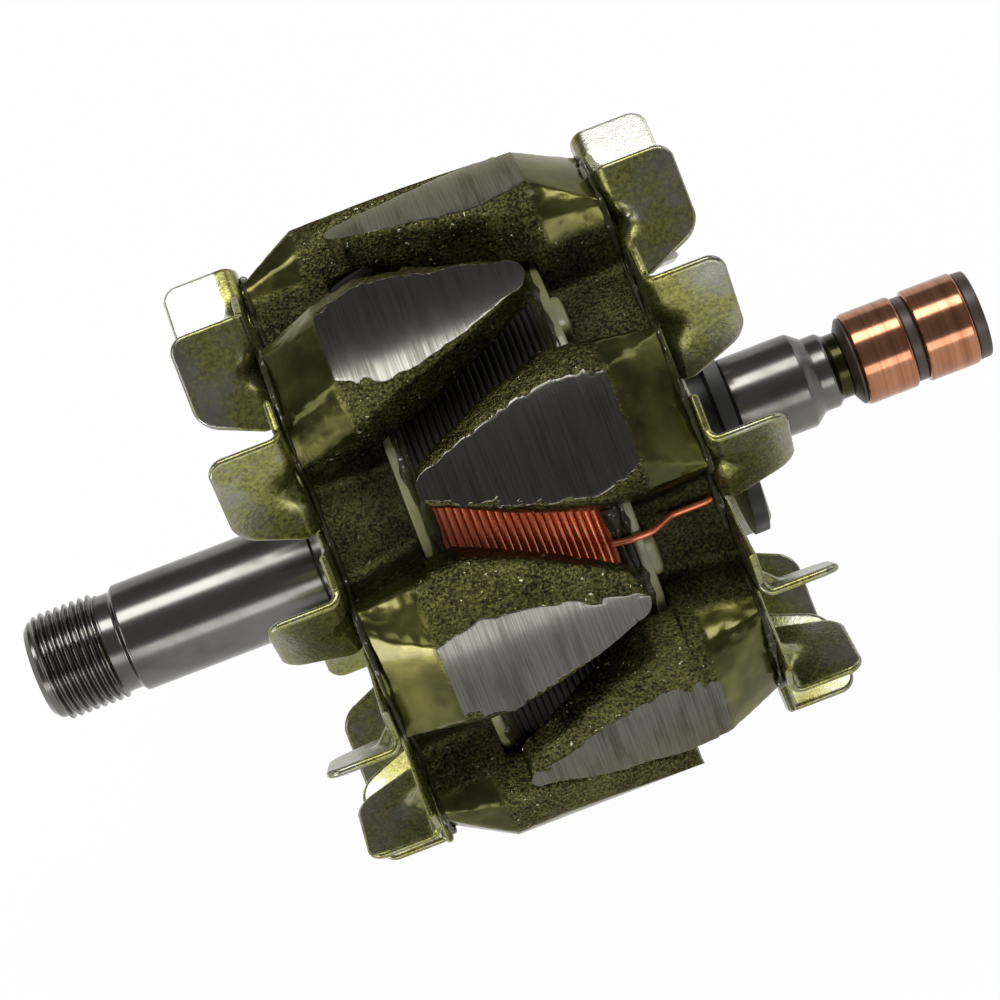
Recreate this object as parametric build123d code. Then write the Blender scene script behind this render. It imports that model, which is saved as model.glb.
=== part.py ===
"""Claw-pole alternator rotor.

A ground steel shaft carries two forged pole halves, whose claws interleave round a field coil, a fan
stamped from sheet on each outer face, and a moulded hub with two slip rings.

Every piece is modelled about the Z axis, with the slip rings towards +Z, heights measured from the
middle of the poles and angles from +X. When it is written it is turned onto the X axis, and moved so
that the origin is the middle of the overall length.
"""

import math
import os

from build123d import *

# Poles: forged halves with claws
rotor_radius = 49.0
pole_half_length = 27.2
plate_thickness = 12.2
valley_depth = 15.0
valley_fillet = 2.6
claw_count = 6
claw_tip_gap = 2.5
claw_coil_clearance = 0.8
claw_tip_depth = 4.5
shoulder_length = 9.6
shoulder_drop = 5.3
claw_root_half_width = 10.6
claw_shoulder_half_width = 7.4
claw_widest_from_face = 16.5
claw_face_half_width = 9.3
claw_tip_half_width = 2.9
claw_side_bulge = 0.7
broad_bevel_width = 4.0
broad_bevel_slope = 36.0
narrow_bevel_width = 1.1
narrow_bevel_slope = 52.0
tip_bevel_share = 0.45
pole_core_depth = 24.0

# Shaft
thread_radius = 8.4
thread_length = 12.2
thread_relief_depth = 0.8
thread_relief_length = 1.8
drive_journal_radius = 8.5
drive_journal_length = 30.9
journal_lead_in = 0.7
shoulder_relief_depth = 0.25
shoulder_relief_length = 1.8
shoulder_stand = 2.4
core_seat_radius = 9.6
rear_collar_depth = 0.4
rear_collar_length = 8.7
rear_journal_radius = 7.5
rear_journal_length = 11.2
rear_cone_length = 2.0
rear_land_radius = 5.9
rear_land_length = 2.3
rear_neck_slope = 0.9
rear_neck_radius = 5.1
rear_neck_length = 1.8
shaft_end_chamfer = 1.1
centre_hole_radius = 2.6
centre_hole_depth = 4.2

# Fans: stamped sheet with bent blades
fan_sheet = 1.2
fan_inset = 1.5
fan_disc_inset = 2.4
fan_blade_count = 12
fan_blade_chord = 17.2
fan_blade_lean = 34.0
fan_blade_height = 11.7
fan_blade_full_share = 0.78
fan_blade_inner_height = 2.8
fan_blade_corner = 2.6
fan_bend_radius = 1.0
fan_notch_end = 1.2
fan_notch_inner = 2.2
fan_gusset_reach = 4.0
fan_gusset_ridge = 1.0
fan_gusset_spread = 0.6
fan_gusset_wall = 0.9
drive_fan_bore = 16.0
rear_fan_bore = 20.2
drive_fan_turn = 12.5
rear_fan_turn = 9.5

# Coil and bobbin
bobbin_clearance = 0.15
bobbin_wall = 1.2
bobbin_flange_stand = 3.6
bobbin_flange_thickness = 1.6
bobbin_lug_length = 3.1
bobbin_lug_width = 6.8
coil_inset = 1.1
coil_turn_pitch = 1.05
coil_turn_depth = 0.35

# Leads between the coil and the slip rings
lead_angle = 144.0
lead_radius = 0.5
lead_gap = 0.15
lead_groove_depth = 1.5
lead_rise_gap = 3.6
lead_entry_stand = 3.1
lead_groove_clearance = 0.3
sleeve_wall = 0.6
sleeve_reach = 1.4
joint_wall = 0.35
joint_length = 0.9
bar_radius = 0.6
bar_offset = 1.5

# Lead cap, a black moulding on the rear face
cap_clearance = 0.1
cap_hub_wall = 4.8
cap_fan_gap = 0.7
cap_flange_thickness = 2.2
cap_height = 7.3

# Slip rings and their hub
stem_radius = 3.0
stem_gap = 1.6
shaft_bore_gap = 1.3
hub_front_flare = 1.5
hub_recess = 0.5
slip_ring_radius = 7.3
slip_ring_wall = 1.7
slip_ring_length = 8.2
slip_ring_chamfer = 0.45
ring_gap = 1.8
hub_end_length = 2.0
hub_end_chamfer = 0.5

# Places worked out from the sizes above
plate_inner_face = pole_half_length - plate_thickness
claw_pitch = 360 / claw_count
claw_reach = plate_inner_face - claw_tip_gap
valley_radius = rotor_radius - valley_depth
pole_core_radius = rotor_radius - pole_core_depth
fan_radius = rotor_radius - fan_inset
fan_disc_radius = rotor_radius - fan_disc_inset
shoulder_face = -pole_half_length - shoulder_stand
drive_journal_end = shoulder_face - shoulder_relief_length
drive_journal_start = drive_journal_end - drive_journal_length
thread_relief_start = drive_journal_start - journal_lead_in - thread_relief_length
thread_end = thread_relief_start - thread_length
rear_collar_radius = rear_journal_radius - rear_collar_depth
rear_journal_start = pole_half_length + rear_collar_length
rear_journal_end = rear_journal_start + rear_journal_length
rear_cone_end = rear_journal_end + rear_cone_length
rear_land_end = rear_cone_end + rear_land_length
neck_start = rear_land_end + rear_neck_slope
shaft_end = neck_start + rear_neck_length
inboard_ring_start = shaft_end + hub_front_flare
inboard_ring_end = inboard_ring_start + slip_ring_length
outboard_ring_start = inboard_ring_end + ring_gap
outboard_ring_end = outboard_ring_start + slip_ring_length
hub_end = outboard_ring_end + hub_end_length
hub_core_radius = slip_ring_radius - slip_ring_wall
hub_front_radius = slip_ring_radius - hub_recess
bobbin_end = plate_inner_face - bobbin_clearance
bobbin_bore = pole_core_radius + bobbin_clearance
bobbin_flange_radius = valley_radius + bobbin_flange_stand
coil_end = bobbin_end - bobbin_flange_thickness
coil_inner_radius = bobbin_bore + bobbin_wall
coil_radius = bobbin_flange_radius - coil_inset
coil_turn_count = int(2 * coil_end / coil_turn_pitch)
cap_bore = rear_collar_radius + cap_clearance
cap_hub_radius = cap_bore + cap_hub_wall
cap_flange_radius = rear_fan_bore - cap_fan_gap
sleeve_radius = lead_radius + sleeve_wall
sleeve_outer_end = cap_hub_radius + sleeve_reach
lead_turn_in_height = pole_half_length - lead_groove_depth
lead_rise_radius = cap_hub_radius + lead_rise_gap
lead_entry_height = pole_half_length + lead_entry_stand
shaft_bore_start = lead_entry_height - shaft_bore_gap
stem_start = lead_entry_height + stem_gap
middle = (thread_end + hub_end) / 2


def turned(*points):
    """A solid of revolution about Z from (radius, height) corners."""
    return revolve(make_face(Plane.XZ * Polyline(*points, close=True)), Axis.Z)


def ring(outer, inner, low, high):
    return turned((inner, low), (outer, low), (outer, high), (inner, high))


def shaft():
    """The turned bar, with its thread left plain, a blind bore for the hub's stem and a cross hole."""
    thread_relief_radius = drive_journal_radius - thread_relief_depth
    thread_relief_end = thread_relief_start + thread_relief_length
    relief_radius = drive_journal_radius - shoulder_relief_depth
    bar = turned(
        (0, thread_end),
        (thread_radius - shaft_end_chamfer, thread_end),
        (thread_radius, thread_end + shaft_end_chamfer),
        (thread_radius, thread_relief_start),
        (thread_relief_radius, thread_relief_start),
        (thread_relief_radius, thread_relief_end),
        (drive_journal_radius, drive_journal_start),
        (drive_journal_radius, drive_journal_end),
        (relief_radius, drive_journal_end),
        (relief_radius, shoulder_face),
        (core_seat_radius, shoulder_face),
        (core_seat_radius, pole_half_length),
        (rear_collar_radius, pole_half_length),
        (rear_collar_radius, rear_journal_start - journal_lead_in / 2),
        (rear_journal_radius, rear_journal_start),
        (rear_journal_radius, rear_journal_end),
        (rear_land_radius, rear_cone_end),
        (rear_land_radius, rear_land_end),
        (rear_neck_radius, neck_start),
        (rear_neck_radius, shaft_end),
        (0, shaft_end),
    )
    centre = turned((0, thread_end), (centre_hole_radius, thread_end), (0, thread_end + centre_hole_depth))
    bore = ring(stem_radius, 0, shaft_bore_start, shaft_end)
    cross_hole = Cylinder(sleeve_radius + cap_clearance, 4 * rear_collar_radius)
    cross_hole = Rot(0, 0, lead_angle) * Pos(0, 0, lead_entry_height) * Rot(0, 90, 0) * cross_hole
    return bar - centre - bore - cross_hole


def claw_outline():
    """The claw laid flat, root up: across it is X and along the shaft is Y."""
    widest = pole_half_length - claw_widest_from_face
    left_root = (-claw_root_half_width, pole_half_length)
    left_widest = (-claw_face_half_width - broad_bevel_width, widest)
    left_tip = (-claw_tip_half_width - broad_bevel_width * tip_bevel_share, claw_tip_half_width - claw_reach)
    tip = (0, -claw_reach)
    right_tip = (claw_tip_half_width, left_tip[1])
    right_widest = (claw_face_half_width + narrow_bevel_width, widest)
    right_root = (claw_root_half_width, pole_half_length)
    halfway = (widest + left_tip[1]) / 2
    left_bulge = ((left_widest[0] + left_tip[0]) / 2 - claw_side_bulge, halfway)
    right_bulge = ((right_widest[0] + right_tip[0]) / 2 + claw_side_bulge, halfway)
    edges = [
        Line(right_root, left_root),
        Line(left_root, left_widest),
        ThreePointArc(left_widest, left_bulge, left_tip),
        ThreePointArc(left_tip, tip, right_tip),
        ThreePointArc(right_tip, right_bulge, right_widest),
        Line(right_widest, right_root),
    ]
    return make_face(Curve() + edges)


def bevel_cutter(side, slope, start, end):
    """All that lies above a sloping plane through two (half width, height) places on the turned face."""
    def on_face(half_width, height):
        return Vector(math.sqrt(rotor_radius**2 - half_width**2), side * half_width, height)

    along = on_face(*end) - on_face(*start)
    fall = Vector(-math.sin(math.radians(slope)), side * math.cos(math.radians(slope)), 0)
    normal = along.cross(fall)
    if normal.X < 0:
        normal = normal * -1
    above = Box(4 * rotor_radius, 2 * rotor_radius, rotor_radius, align=(Align.CENTER, Align.CENTER, Align.MIN))
    return Plane(origin=on_face(*start), x_dir=along, z_dir=normal) * above


def claw():
    """One claw over +X: its outline, cut from the turned envelope, then bevelled along both edges.

    The turned face is widest part of the way along, and narrows to the shoulder and to the tip.
    """
    shoulder_radius = rotor_radius - shoulder_drop
    envelope = turned(
        (valley_radius / 2, pole_half_length),
        (shoulder_radius, pole_half_length),
        (rotor_radius, pole_half_length - shoulder_length),
        (rotor_radius, -claw_reach),
        (rotor_radius - claw_tip_depth, -claw_reach),
        (bobbin_flange_radius + claw_coil_clearance, plate_inner_face),
        (valley_radius / 2, plate_inner_face),
    )
    blank = extrude(Plane.YZ * claw_outline(), amount=2 * rotor_radius)
    claw = blank & envelope
    shoulder = (claw_shoulder_half_width, pole_half_length - shoulder_length)
    widest = (claw_face_half_width, pole_half_length - claw_widest_from_face)
    tip = (claw_tip_half_width, claw_tip_half_width - claw_reach)
    for side, slope in ((-1, broad_bevel_slope), (1, narrow_bevel_slope)):
        claw -= bevel_cutter(side, slope, widest, tip)
        claw -= bevel_cutter(side, broad_bevel_slope, shoulder, widest)
    return claw


def is_valley_corner(edge):
    """Whether the edge runs through the plate at the valley's radius, where a claw's side rises."""
    ends = (edge @ 0, edge @ 1)
    at_valley = all(abs(math.hypot(end.X, end.Y) - valley_radius) < 0.01 for end in ends)
    return at_valley and abs(abs(ends[0].Z - ends[1].Z) - plate_thickness) < 0.01


def pole_half():
    """The forging at the slip ring end: a plate with valleys between its six claws."""
    pole = ring(valley_radius, core_seat_radius, plate_inner_face, pole_half_length)
    one_claw = claw()
    for number in range(claw_count):
        pole += Rot(0, 0, number * claw_pitch) * one_claw
    return fillet([edge for edge in pole.edges() if is_valley_corner(edge)], valley_fillet)


def lead_grooves():
    """Two slots in the rear pole's outer face, for the leads on their way in to the shaft."""
    width = 2 * (lead_radius + lead_groove_clearance)
    depth = pole_half_length - lead_turn_in_height + lead_radius + lead_groove_clearance
    inner = lead_rise_radius - width
    slot = Box(valley_radius, width, depth, align=(Align.MIN, Align.CENTER, Align.MAX))
    slot = Pos(inner, 0, pole_half_length) * slot
    return Rot(0, 0, lead_angle) * slot + Rot(0, 0, lead_angle + 180) * slot


def pole_core():
    return ring(pole_core_radius, core_seat_radius, -plate_inner_face, plate_inner_face)


def fan_blade_frame():
    """The fold line of the blade whose outer end lies on +X: x runs along it, outwards."""
    lean = math.radians(fan_blade_lean)
    outer = Vector(fan_radius, 0, 0)
    along = Vector(math.cos(lean), -math.sin(lean), 0)
    return Plane(origin=outer - along * fan_blade_chord, x_dir=along, z_dir=(0, 0, 1))


def fan_blade():
    """An L-shaped fold of sheet, its upright trimmed to the blade's outline."""
    outside = fan_bend_radius + fan_sheet
    leg = 2 * outside
    corner_in = fan_bend_radius * (1 - math.sqrt(0.5))
    corner_out = outside * (1 - math.sqrt(0.5))
    fold = [
        Line((-leg, 0), (-outside, 0)),
        ThreePointArc((-outside, 0), (-corner_out, corner_out), (0, outside)),
        Line((0, outside), (0, fan_blade_height)),
        Line((0, fan_blade_height), (-fan_sheet, fan_blade_height)),
        Line((-fan_sheet, fan_blade_height), (-fan_sheet, outside)),
        ThreePointArc(
            (-fan_sheet, outside),
            (-fan_sheet - corner_in, fan_sheet + corner_in),
            (-outside, fan_sheet),
        ),
        Line((-outside, fan_sheet), (-leg, fan_sheet)),
        Line((-leg, fan_sheet), (-leg, 0)),
    ]
    blade = extrude(Plane.YZ * make_face(Curve() + fold), amount=fan_blade_chord)
    full_from = fan_blade_chord * (1 - fan_blade_full_share)
    outline = make_face(
        Polyline(
            (0, 0),
            (fan_blade_chord, 0),
            (fan_blade_chord, fan_blade_height),
            (full_from, fan_blade_height),
            (0, fan_blade_inner_height),
            close=True,
        )
    )
    top_corners = outline.vertices().sort_by(Axis.Y)[-2:]
    outline = fillet(top_corners, fan_blade_corner)
    trim = extrude(Plane.XZ * outline, amount=leg, both=True)
    return blade & trim


def gusset_section():
    """Across the rib, widening from its flat ridge down past the fold."""
    depth = 2 * fan_gusset_reach
    foot = fan_gusset_ridge + depth * fan_gusset_spread
    corners = [(-fan_gusset_ridge, 0), (fan_gusset_ridge, 0), (foot, depth), (-foot, depth)]
    return make_face(Polyline(*corners, close=True))


def fan_gusset():
    """A pressed rib across the fold, and the dent that it leaves on the other side."""
    slant = Plane(
        origin=(fan_blade_chord / 2, -fan_gusset_reach / 2 - fan_sheet / 2, fan_gusset_reach / 2 + fan_sheet / 2),
        x_dir=(1, 0, 0),
        z_dir=(0, 1, 1),
    )
    section = gusset_section()
    dented = offset(section, amount=-fan_gusset_wall)
    rib = extrude(slant * section, amount=fan_gusset_reach, both=True)
    dent = extrude(slant * dented, amount=fan_gusset_reach, both=True)
    corner = Box(
        fan_blade_chord,
        2 * fan_gusset_reach,
        2 * fan_gusset_reach,
        align=(Align.MIN, Align.MAX, Align.MIN),
    )
    rib = rib & (Pos(0, -fan_sheet / 2, fan_sheet / 2) * corner)
    return rib, dent


def fan_notch():
    """The gap that the blade leaves in the flat sheet, out to the next blade's petal."""
    outside = fan_bend_radius + fan_sheet
    full_from = fan_blade_chord * (1 - fan_blade_full_share)
    past_rim = 1.3 * fan_blade_chord
    notch = make_face(
        Polyline(
            (-fan_notch_end, -outside),
            (-fan_notch_end, fan_notch_inner),
            (full_from + fan_notch_end, fan_blade_height + fan_notch_end),
            (past_rim, fan_blade_height + fan_notch_end),
            (past_rim, -outside),
            close=True,
        )
    )
    inner_corners = notch.vertices().sort_by(Axis.X)[:2]
    return extrude(fillet(inner_corners, fan_notch_end), amount=fan_sheet)


def fan(bore):
    """The fan at the slip ring end, flat on its pole, with the blades towards +Z."""
    frame = fan_blade_frame()
    notch = frame * fan_notch()
    disc = ring(fan_disc_radius, bore, 0, fan_sheet)
    for number in range(fan_blade_count):
        disc -= Rot(0, 0, number * 360 / fan_blade_count) * notch
    rib, dent = fan_gusset()
    blade = frame * (fan_blade() + rib)
    dent = frame * dent
    for number in range(fan_blade_count):
        turn = Rot(0, 0, number * 360 / fan_blade_count)
        disc += turn * blade
    for number in range(fan_blade_count):
        turn = Rot(0, 0, number * 360 / fan_blade_count)
        disc -= turn * dent
    return Pos(0, 0, pole_half_length) * disc


def coil_bobbin():
    """The nylon spool, with a lug on its rear flange in each valley of the rear pole."""
    spool = ring(coil_inner_radius, bobbin_bore, -bobbin_end, bobbin_end)
    for low in (-bobbin_end, bobbin_end - bobbin_flange_thickness):
        spool += ring(bobbin_flange_radius, bobbin_bore, low, low + bobbin_flange_thickness)
    lug = Box(
        bobbin_flange_radius,
        bobbin_lug_width,
        bobbin_lug_length,
        align=(Align.MIN, Align.CENTER, Align.MIN),
    )
    lug = Pos(0, 0, bobbin_end - bobbin_flange_thickness) * lug
    lug = lug & ring(bobbin_flange_radius, valley_radius + 2 * bobbin_clearance, 0, pole_half_length)
    for number in range(claw_count):
        spool += Rot(0, 0, (number + 0.5) * claw_pitch) * lug
    return spool


def field_coil():
    """The winding, with its outer layer of turns ridged side by side."""
    start = -coil_turn_count * coil_turn_pitch / 2
    valley = coil_radius - coil_turn_depth
    points = [(coil_inner_radius, -coil_end), (valley, -coil_end), (valley, start)]
    for turn in range(coil_turn_count):
        points.append((coil_radius, start + (turn + 0.5) * coil_turn_pitch))
        points.append((valley, start + (turn + 1) * coil_turn_pitch))
    points.append((valley, coil_end))
    points.append((coil_inner_radius, coil_end))
    return turned(*points)


def field_lead():
    """Off the coil, over the flange, along the valley, in under the fan and across to the shaft."""
    on_coil = coil_radius + lead_radius + lead_gap
    over_flange = bobbin_flange_radius + lead_radius + lead_gap
    in_valley = valley_radius + lead_radius + lead_gap
    lug_end = coil_end + bobbin_lug_length
    stop = bar_offset + bar_radius + joint_wall / 2
    points = [
        (on_coil, coil_end - 4 * bobbin_flange_thickness),
        (over_flange, coil_end),
        (over_flange, lug_end),
        (in_valley, lug_end + 2 * bobbin_flange_thickness),
        (in_valley, lead_turn_in_height),
        (lead_rise_radius, lead_turn_in_height),
        (lead_rise_radius, lead_entry_height),
        (stop, lead_entry_height),
    ]
    path = Plane.XZ * Polyline(*points)
    start = Plane(origin=path @ 0, z_dir=path % 0)
    return sweep(start * Circle(lead_radius), path=path, transition=Transition.RIGHT)


def lead_sleeve():
    start = stem_radius + joint_wall
    tube = Cylinder(sleeve_radius, sleeve_outer_end - start, align=(Align.CENTER, Align.CENTER, Align.MIN))
    tube -= Cylinder(lead_radius, sleeve_outer_end - start, align=(Align.CENTER, Align.CENTER, Align.MIN))
    return Pos(start, 0, lead_entry_height) * Rot(0, 90, 0) * tube


def lead_joint():
    """The crimp where the lead meets its conductor bar."""
    start = bar_offset + bar_radius + joint_wall / 2
    radius = lead_radius + joint_wall
    crimp = Cylinder(radius, joint_length, align=(Align.CENTER, Align.CENTER, Align.MIN))
    crimp -= Cylinder(lead_radius, joint_length, align=(Align.CENTER, Align.CENTER, Align.MIN))
    return Pos(start, 0, lead_entry_height) * Rot(0, 90, 0) * crimp


def conductor_bar(ring_start):
    """A round bar along the stem, turned out to the middle of its slip ring."""
    low = lead_entry_height - bar_radius
    high = ring_start + slip_ring_length / 2
    reach = math.sqrt(hub_core_radius**2 - bar_radius**2)
    upright = Cylinder(bar_radius, high + bar_radius - low, align=(Align.CENTER, Align.CENTER, Align.MIN))
    branch = Cylinder(bar_radius, reach - bar_offset, align=(Align.CENTER, Align.CENTER, Align.MIN))
    return Pos(bar_offset, 0, low) * upright + Pos(bar_offset, 0, high) * Rot(0, 90, 0) * branch


def lead_cap():
    """The black moulding round the shaft: a hub with a slot for each lead, under a wide flange."""
    top = pole_half_length + cap_height
    cap = ring(cap_hub_radius, cap_bore, pole_half_length, top)
    cap += ring(cap_flange_radius, cap_bore, top - cap_flange_thickness, top)
    width = 2 * (sleeve_radius + cap_clearance)
    slot_height = lead_entry_height + sleeve_radius + cap_clearance - pole_half_length
    slot = Box(cap_flange_radius, width, slot_height, align=(Align.MIN, Align.CENTER, Align.MIN))
    slot = Pos(0, 0, pole_half_length) * slot
    return cap - Rot(0, 0, lead_angle) * slot - Rot(0, 0, lead_angle + 180) * slot


def slip_ring_insulator(bars):
    """The moulded hub: a stem in the shaft's bore, and seats for the two rings."""
    hub = turned(
        (0, stem_start),
        (stem_radius, stem_start),
        (stem_radius, shaft_end),
        (rear_neck_radius, shaft_end),
        (hub_front_radius, inboard_ring_start),
        (hub_core_radius, inboard_ring_start),
        (hub_core_radius, inboard_ring_end),
        (hub_front_radius, inboard_ring_end),
        (hub_front_radius, outboard_ring_start),
        (hub_core_radius, outboard_ring_start),
        (hub_core_radius, outboard_ring_end),
        (hub_front_radius, outboard_ring_end),
        (hub_front_radius, hub_end - hub_end_chamfer),
        (hub_front_radius - hub_end_chamfer, hub_end),
        (0, hub_end),
    )
    for bar in bars:
        hub -= bar
    return hub


def slip_ring(start):
    end = start + slip_ring_length
    return turned(
        (hub_core_radius, start),
        (slip_ring_radius - slip_ring_chamfer, start),
        (slip_ring_radius, start + slip_ring_chamfer),
        (slip_ring_radius, end - slip_ring_chamfer),
        (slip_ring_radius - slip_ring_chamfer, end),
        (hub_core_radius, end),
    )


def write(node, shape):
    """Turns the piece onto the X axis, moves it to the middle of the length and writes it."""
    placed = Pos(-middle, 0, 0) * (Plane.YZ * shape)
    export_step(placed, f"parts/{node}.step")


def main():
    os.makedirs("parts", exist_ok=True)
    start_turn = Rot(0, 0, lead_angle)
    finish_turn = Rot(0, 0, lead_angle + 180)
    half = pole_half()
    front_turn = Rot(0, 0, claw_pitch / 2)
    bars = {
        "inboard": start_turn * conductor_bar(inboard_ring_start),
        "outboard": finish_turn * conductor_bar(outboard_ring_start),
    }
    write("shaft", shaft())
    write("pole_core", pole_core())
    write("drive_end_claw_pole", front_turn * mirror(half, about=Plane.XY))
    write("slip_ring_end_claw_pole", half - lead_grooves())
    write("drive_end_fan", Rot(0, 0, drive_fan_turn) * mirror(fan(drive_fan_bore), about=Plane.XY))
    write("slip_ring_end_fan", Rot(0, 0, rear_fan_turn) * fan(rear_fan_bore))
    write("coil_bobbin", coil_bobbin())
    write("field_coil", field_coil())
    write("lead_cap", lead_cap())
    write("slip_ring_insulator", slip_ring_insulator(bars.values()))
    write("slip_ring_inboard", slip_ring(inboard_ring_start))
    write("slip_ring_outboard", slip_ring(outboard_ring_start))
    for place, bar in bars.items():
        write(f"conductor_bar_{place}", bar)
    for end, turn in (("start", start_turn), ("finish", finish_turn)):
        write(f"field_lead_{end}", turn * field_lead())
        write(f"lead_sleeve_{end}", turn * lead_sleeve())
        write(f"lead_joint_{end}", turn * lead_joint())


main()
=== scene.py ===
"""A claw-pole alternator rotor: its finished pieces, their finishes, the floor, lamps and camera.

Lengths are in metres. The shaft lies along X with the slip rings towards +X, and angles round it
start at +Y and turn towards +Z.
"""

import math

import bmesh
import bpy
import numpy as np
from mathutils import Matrix, Vector


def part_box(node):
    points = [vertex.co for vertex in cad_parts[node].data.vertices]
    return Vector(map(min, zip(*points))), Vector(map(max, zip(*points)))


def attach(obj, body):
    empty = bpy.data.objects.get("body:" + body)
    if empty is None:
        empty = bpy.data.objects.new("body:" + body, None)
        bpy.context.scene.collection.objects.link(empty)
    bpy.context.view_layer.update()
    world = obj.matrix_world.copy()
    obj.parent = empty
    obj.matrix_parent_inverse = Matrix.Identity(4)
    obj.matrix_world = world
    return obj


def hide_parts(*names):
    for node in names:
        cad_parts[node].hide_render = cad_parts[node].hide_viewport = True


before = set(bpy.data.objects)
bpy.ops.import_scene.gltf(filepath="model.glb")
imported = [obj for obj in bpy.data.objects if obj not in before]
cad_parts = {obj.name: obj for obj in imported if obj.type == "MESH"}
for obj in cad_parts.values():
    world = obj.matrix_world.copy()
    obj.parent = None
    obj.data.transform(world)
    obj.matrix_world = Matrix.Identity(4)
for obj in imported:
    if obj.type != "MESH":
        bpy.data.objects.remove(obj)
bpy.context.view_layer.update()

bl_info = {
    "name": "Claw-pole rotor",
    "version": (1, 0, 0),
    "blender": (4, 5, 0),
    "location": "3D View > Sidebar > Rotor",
    "description": "Makes the pieces, finishes and studio of a claw-pole alternator rotor",
    "category": "Object",
}

MM = 0.001
TURN = 2 * math.pi

# Places read from the frame
drive_low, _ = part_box("drive_end_claw_pole")
_, rear_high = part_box("slip_ring_end_claw_pole")
shaft_low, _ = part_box("shaft")
_, bobbin_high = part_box("coil_bobbin")
POLE_CENTRE = (rear_high.x + drive_low.x) / 2
POLE_HALF_LENGTH = (rear_high.x - drive_low.x) / 2
ROTOR_RADIUS = rear_high.y
FLANGE_RADIUS = bobbin_high.y

# The leads' corners as (place from the poles' middle, distance from the axis)
LEAD_ROUTE = [
    (10.5 * MM, 37.1 * MM),
    (13.2 * MM, 38.2 * MM),
    (16.4 * MM, 38.2 * MM),
    (19.6 * MM, 34.7 * MM),
    (25.7 * MM, 34.7 * MM),
    (25.7 * MM, 15.6 * MM),
    (30.3 * MM, 15.6 * MM),
    (30.3 * MM, 2.3 * MM),
]

# How much narrower than drawn each claw's turned face and root are, in millimetres
REAR_TRIMS = [(0.8, 0.0), (0.3, 0.0), (0.9, 0.0), (0.4, 0.0), (1.5, 0.5), (0.6, 0.0)]
DRIVE_TRIMS = [(1.0, 0.5), (0.5, 3.6), (3.4, 0.0), (1.2, 0.0), (0.4, 0.6), (1.8, 0.0)]

# Each lamp's place, its sides and the brightness of its face
LAMPS = {
    "high_lamp": ((0.0, 0.27, 1.17), (1.2, 0.46), 6.4),
    "front_lamp": ((0.0, -1.14, 0.38), (1.2, 0.4), 2.9),
    "left_lamp": ((-1.0, -0.25, 0.65), (0.6, 0.6), 2.4),
    "low_lamp": ((-1.0, -0.7, 0.04), (0.34, 0.19), 15.0),
    "right_lamp": ((1.0, 0.5, 0.6), (0.6, 0.6), 2.0),
}


# Numbers and meshes


def lumps(points, size, seed=0):
    """Smooth random values from -1 to 1.

    Every corner of a cubic grid of the given size has its own random value, made from the sine of its
    place, and the eight values round a point are blended by smoothed distance.
    """
    scaled = points / size
    base = np.floor(scaled)
    part = scaled - base
    part = part * part * (3 - 2 * part)
    total = np.zeros(points.shape[:-1])
    for corner in np.ndindex(2, 2, 2):
        grid = base + np.array(corner)
        wave = np.sin(grid @ np.array([127.1, 311.7, 74.7]) + 19.19 * seed) * 43758.5453
        weight = np.prod(np.where(corner, part, 1 - part), axis=-1)
        total += weight * (2 * (wave - np.floor(wave)) - 1)
    return total


def blend(low, high, values):
    """Zero up to low, one from high, and a smooth S between."""
    share = np.clip((values - low) / (high - low), 0, 1)
    return share * share * (3 - 2 * share)


def unit(vectors, least=0.0):
    """The same directions with length one, but for those much shorter than the least, which stay short."""
    return vectors / (np.linalg.norm(vectors, axis=-1, keepdims=True) + least)


def grid_normals(points, least=0.0):
    """Directions square to both ways across a grid of points."""
    return unit(np.cross(np.gradient(points, axis=0), np.gradient(points, axis=1)), least)


def between(first, second, count):
    """Rows from the first to the second, evenly spaced."""
    share = np.linspace(0, 1, count)
    return first + (second - first) * share.reshape(-1, *[1] * np.ndim(first))


def rounded(corners, cut, steps=4):
    """The same outline with each inner corner replaced by a parabola that starts a cut away from it."""
    corners = np.asarray(corners, float)
    share = np.linspace(0, 1, steps)[:, None]
    parts = [corners[:1]]
    for before, corner, after in zip(corners[:-2], corners[1:-1], corners[2:]):
        ends = []
        for end in (before, after):
            side = end - corner
            length = np.linalg.norm(side)
            ends.append(corner + side / length * min(cut, 0.45 * length))
        parts.append((1 - share) ** 2 * ends[0] + 2 * share * (1 - share) * corner + share**2 * ends[1])
    parts.append(corners[-1:])
    return np.concatenate(parts)


def spaced(outline, step):
    """The same outline with more points, so that none is further than a step from the next."""
    parts = []
    for start, end in zip(outline[:-1], outline[1:]):
        count = max(1, math.ceil(np.linalg.norm(end - start) / step))
        parts.append(start + (end - start) * np.arange(count)[:, None] / count)
    parts.append(outline[-1:])
    return np.concatenate(parts)


def grid_faces(rows, columns, close_rows=False, close_columns=False):
    """The four corners of every cell of a grid whose points are numbered row by row."""
    numbers = np.arange(rows * columns).reshape(rows, columns)
    if close_rows:
        numbers = np.concatenate([numbers, numbers[:1]], axis=0)
    if close_columns:
        numbers = np.concatenate([numbers, numbers[:, :1]], axis=1)
    corners = [numbers[:-1, :-1], numbers[1:, :-1], numbers[1:, 1:], numbers[:-1, 1:]]
    return np.stack(corners, axis=-1).reshape(-1, 4)


def round_axis(along, radius, angle):
    """Points from their place along the shaft, their distance from its axis and their angle round it."""
    along, radius, angle = np.broadcast_arrays(along, radius, angle)
    return np.stack([along, radius * np.cos(angle), radius * np.sin(angle)], axis=-1)


def swung(along, across, out, angle):
    """Points from their place along the shaft, to one side and out, swung by an angle round it."""
    cos, sin = math.cos(angle), math.sin(angle)
    along, across, out = np.broadcast_arrays(along, across, out)
    return np.stack([along, out * cos - across * sin, out * sin + across * cos], axis=-1)


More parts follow.
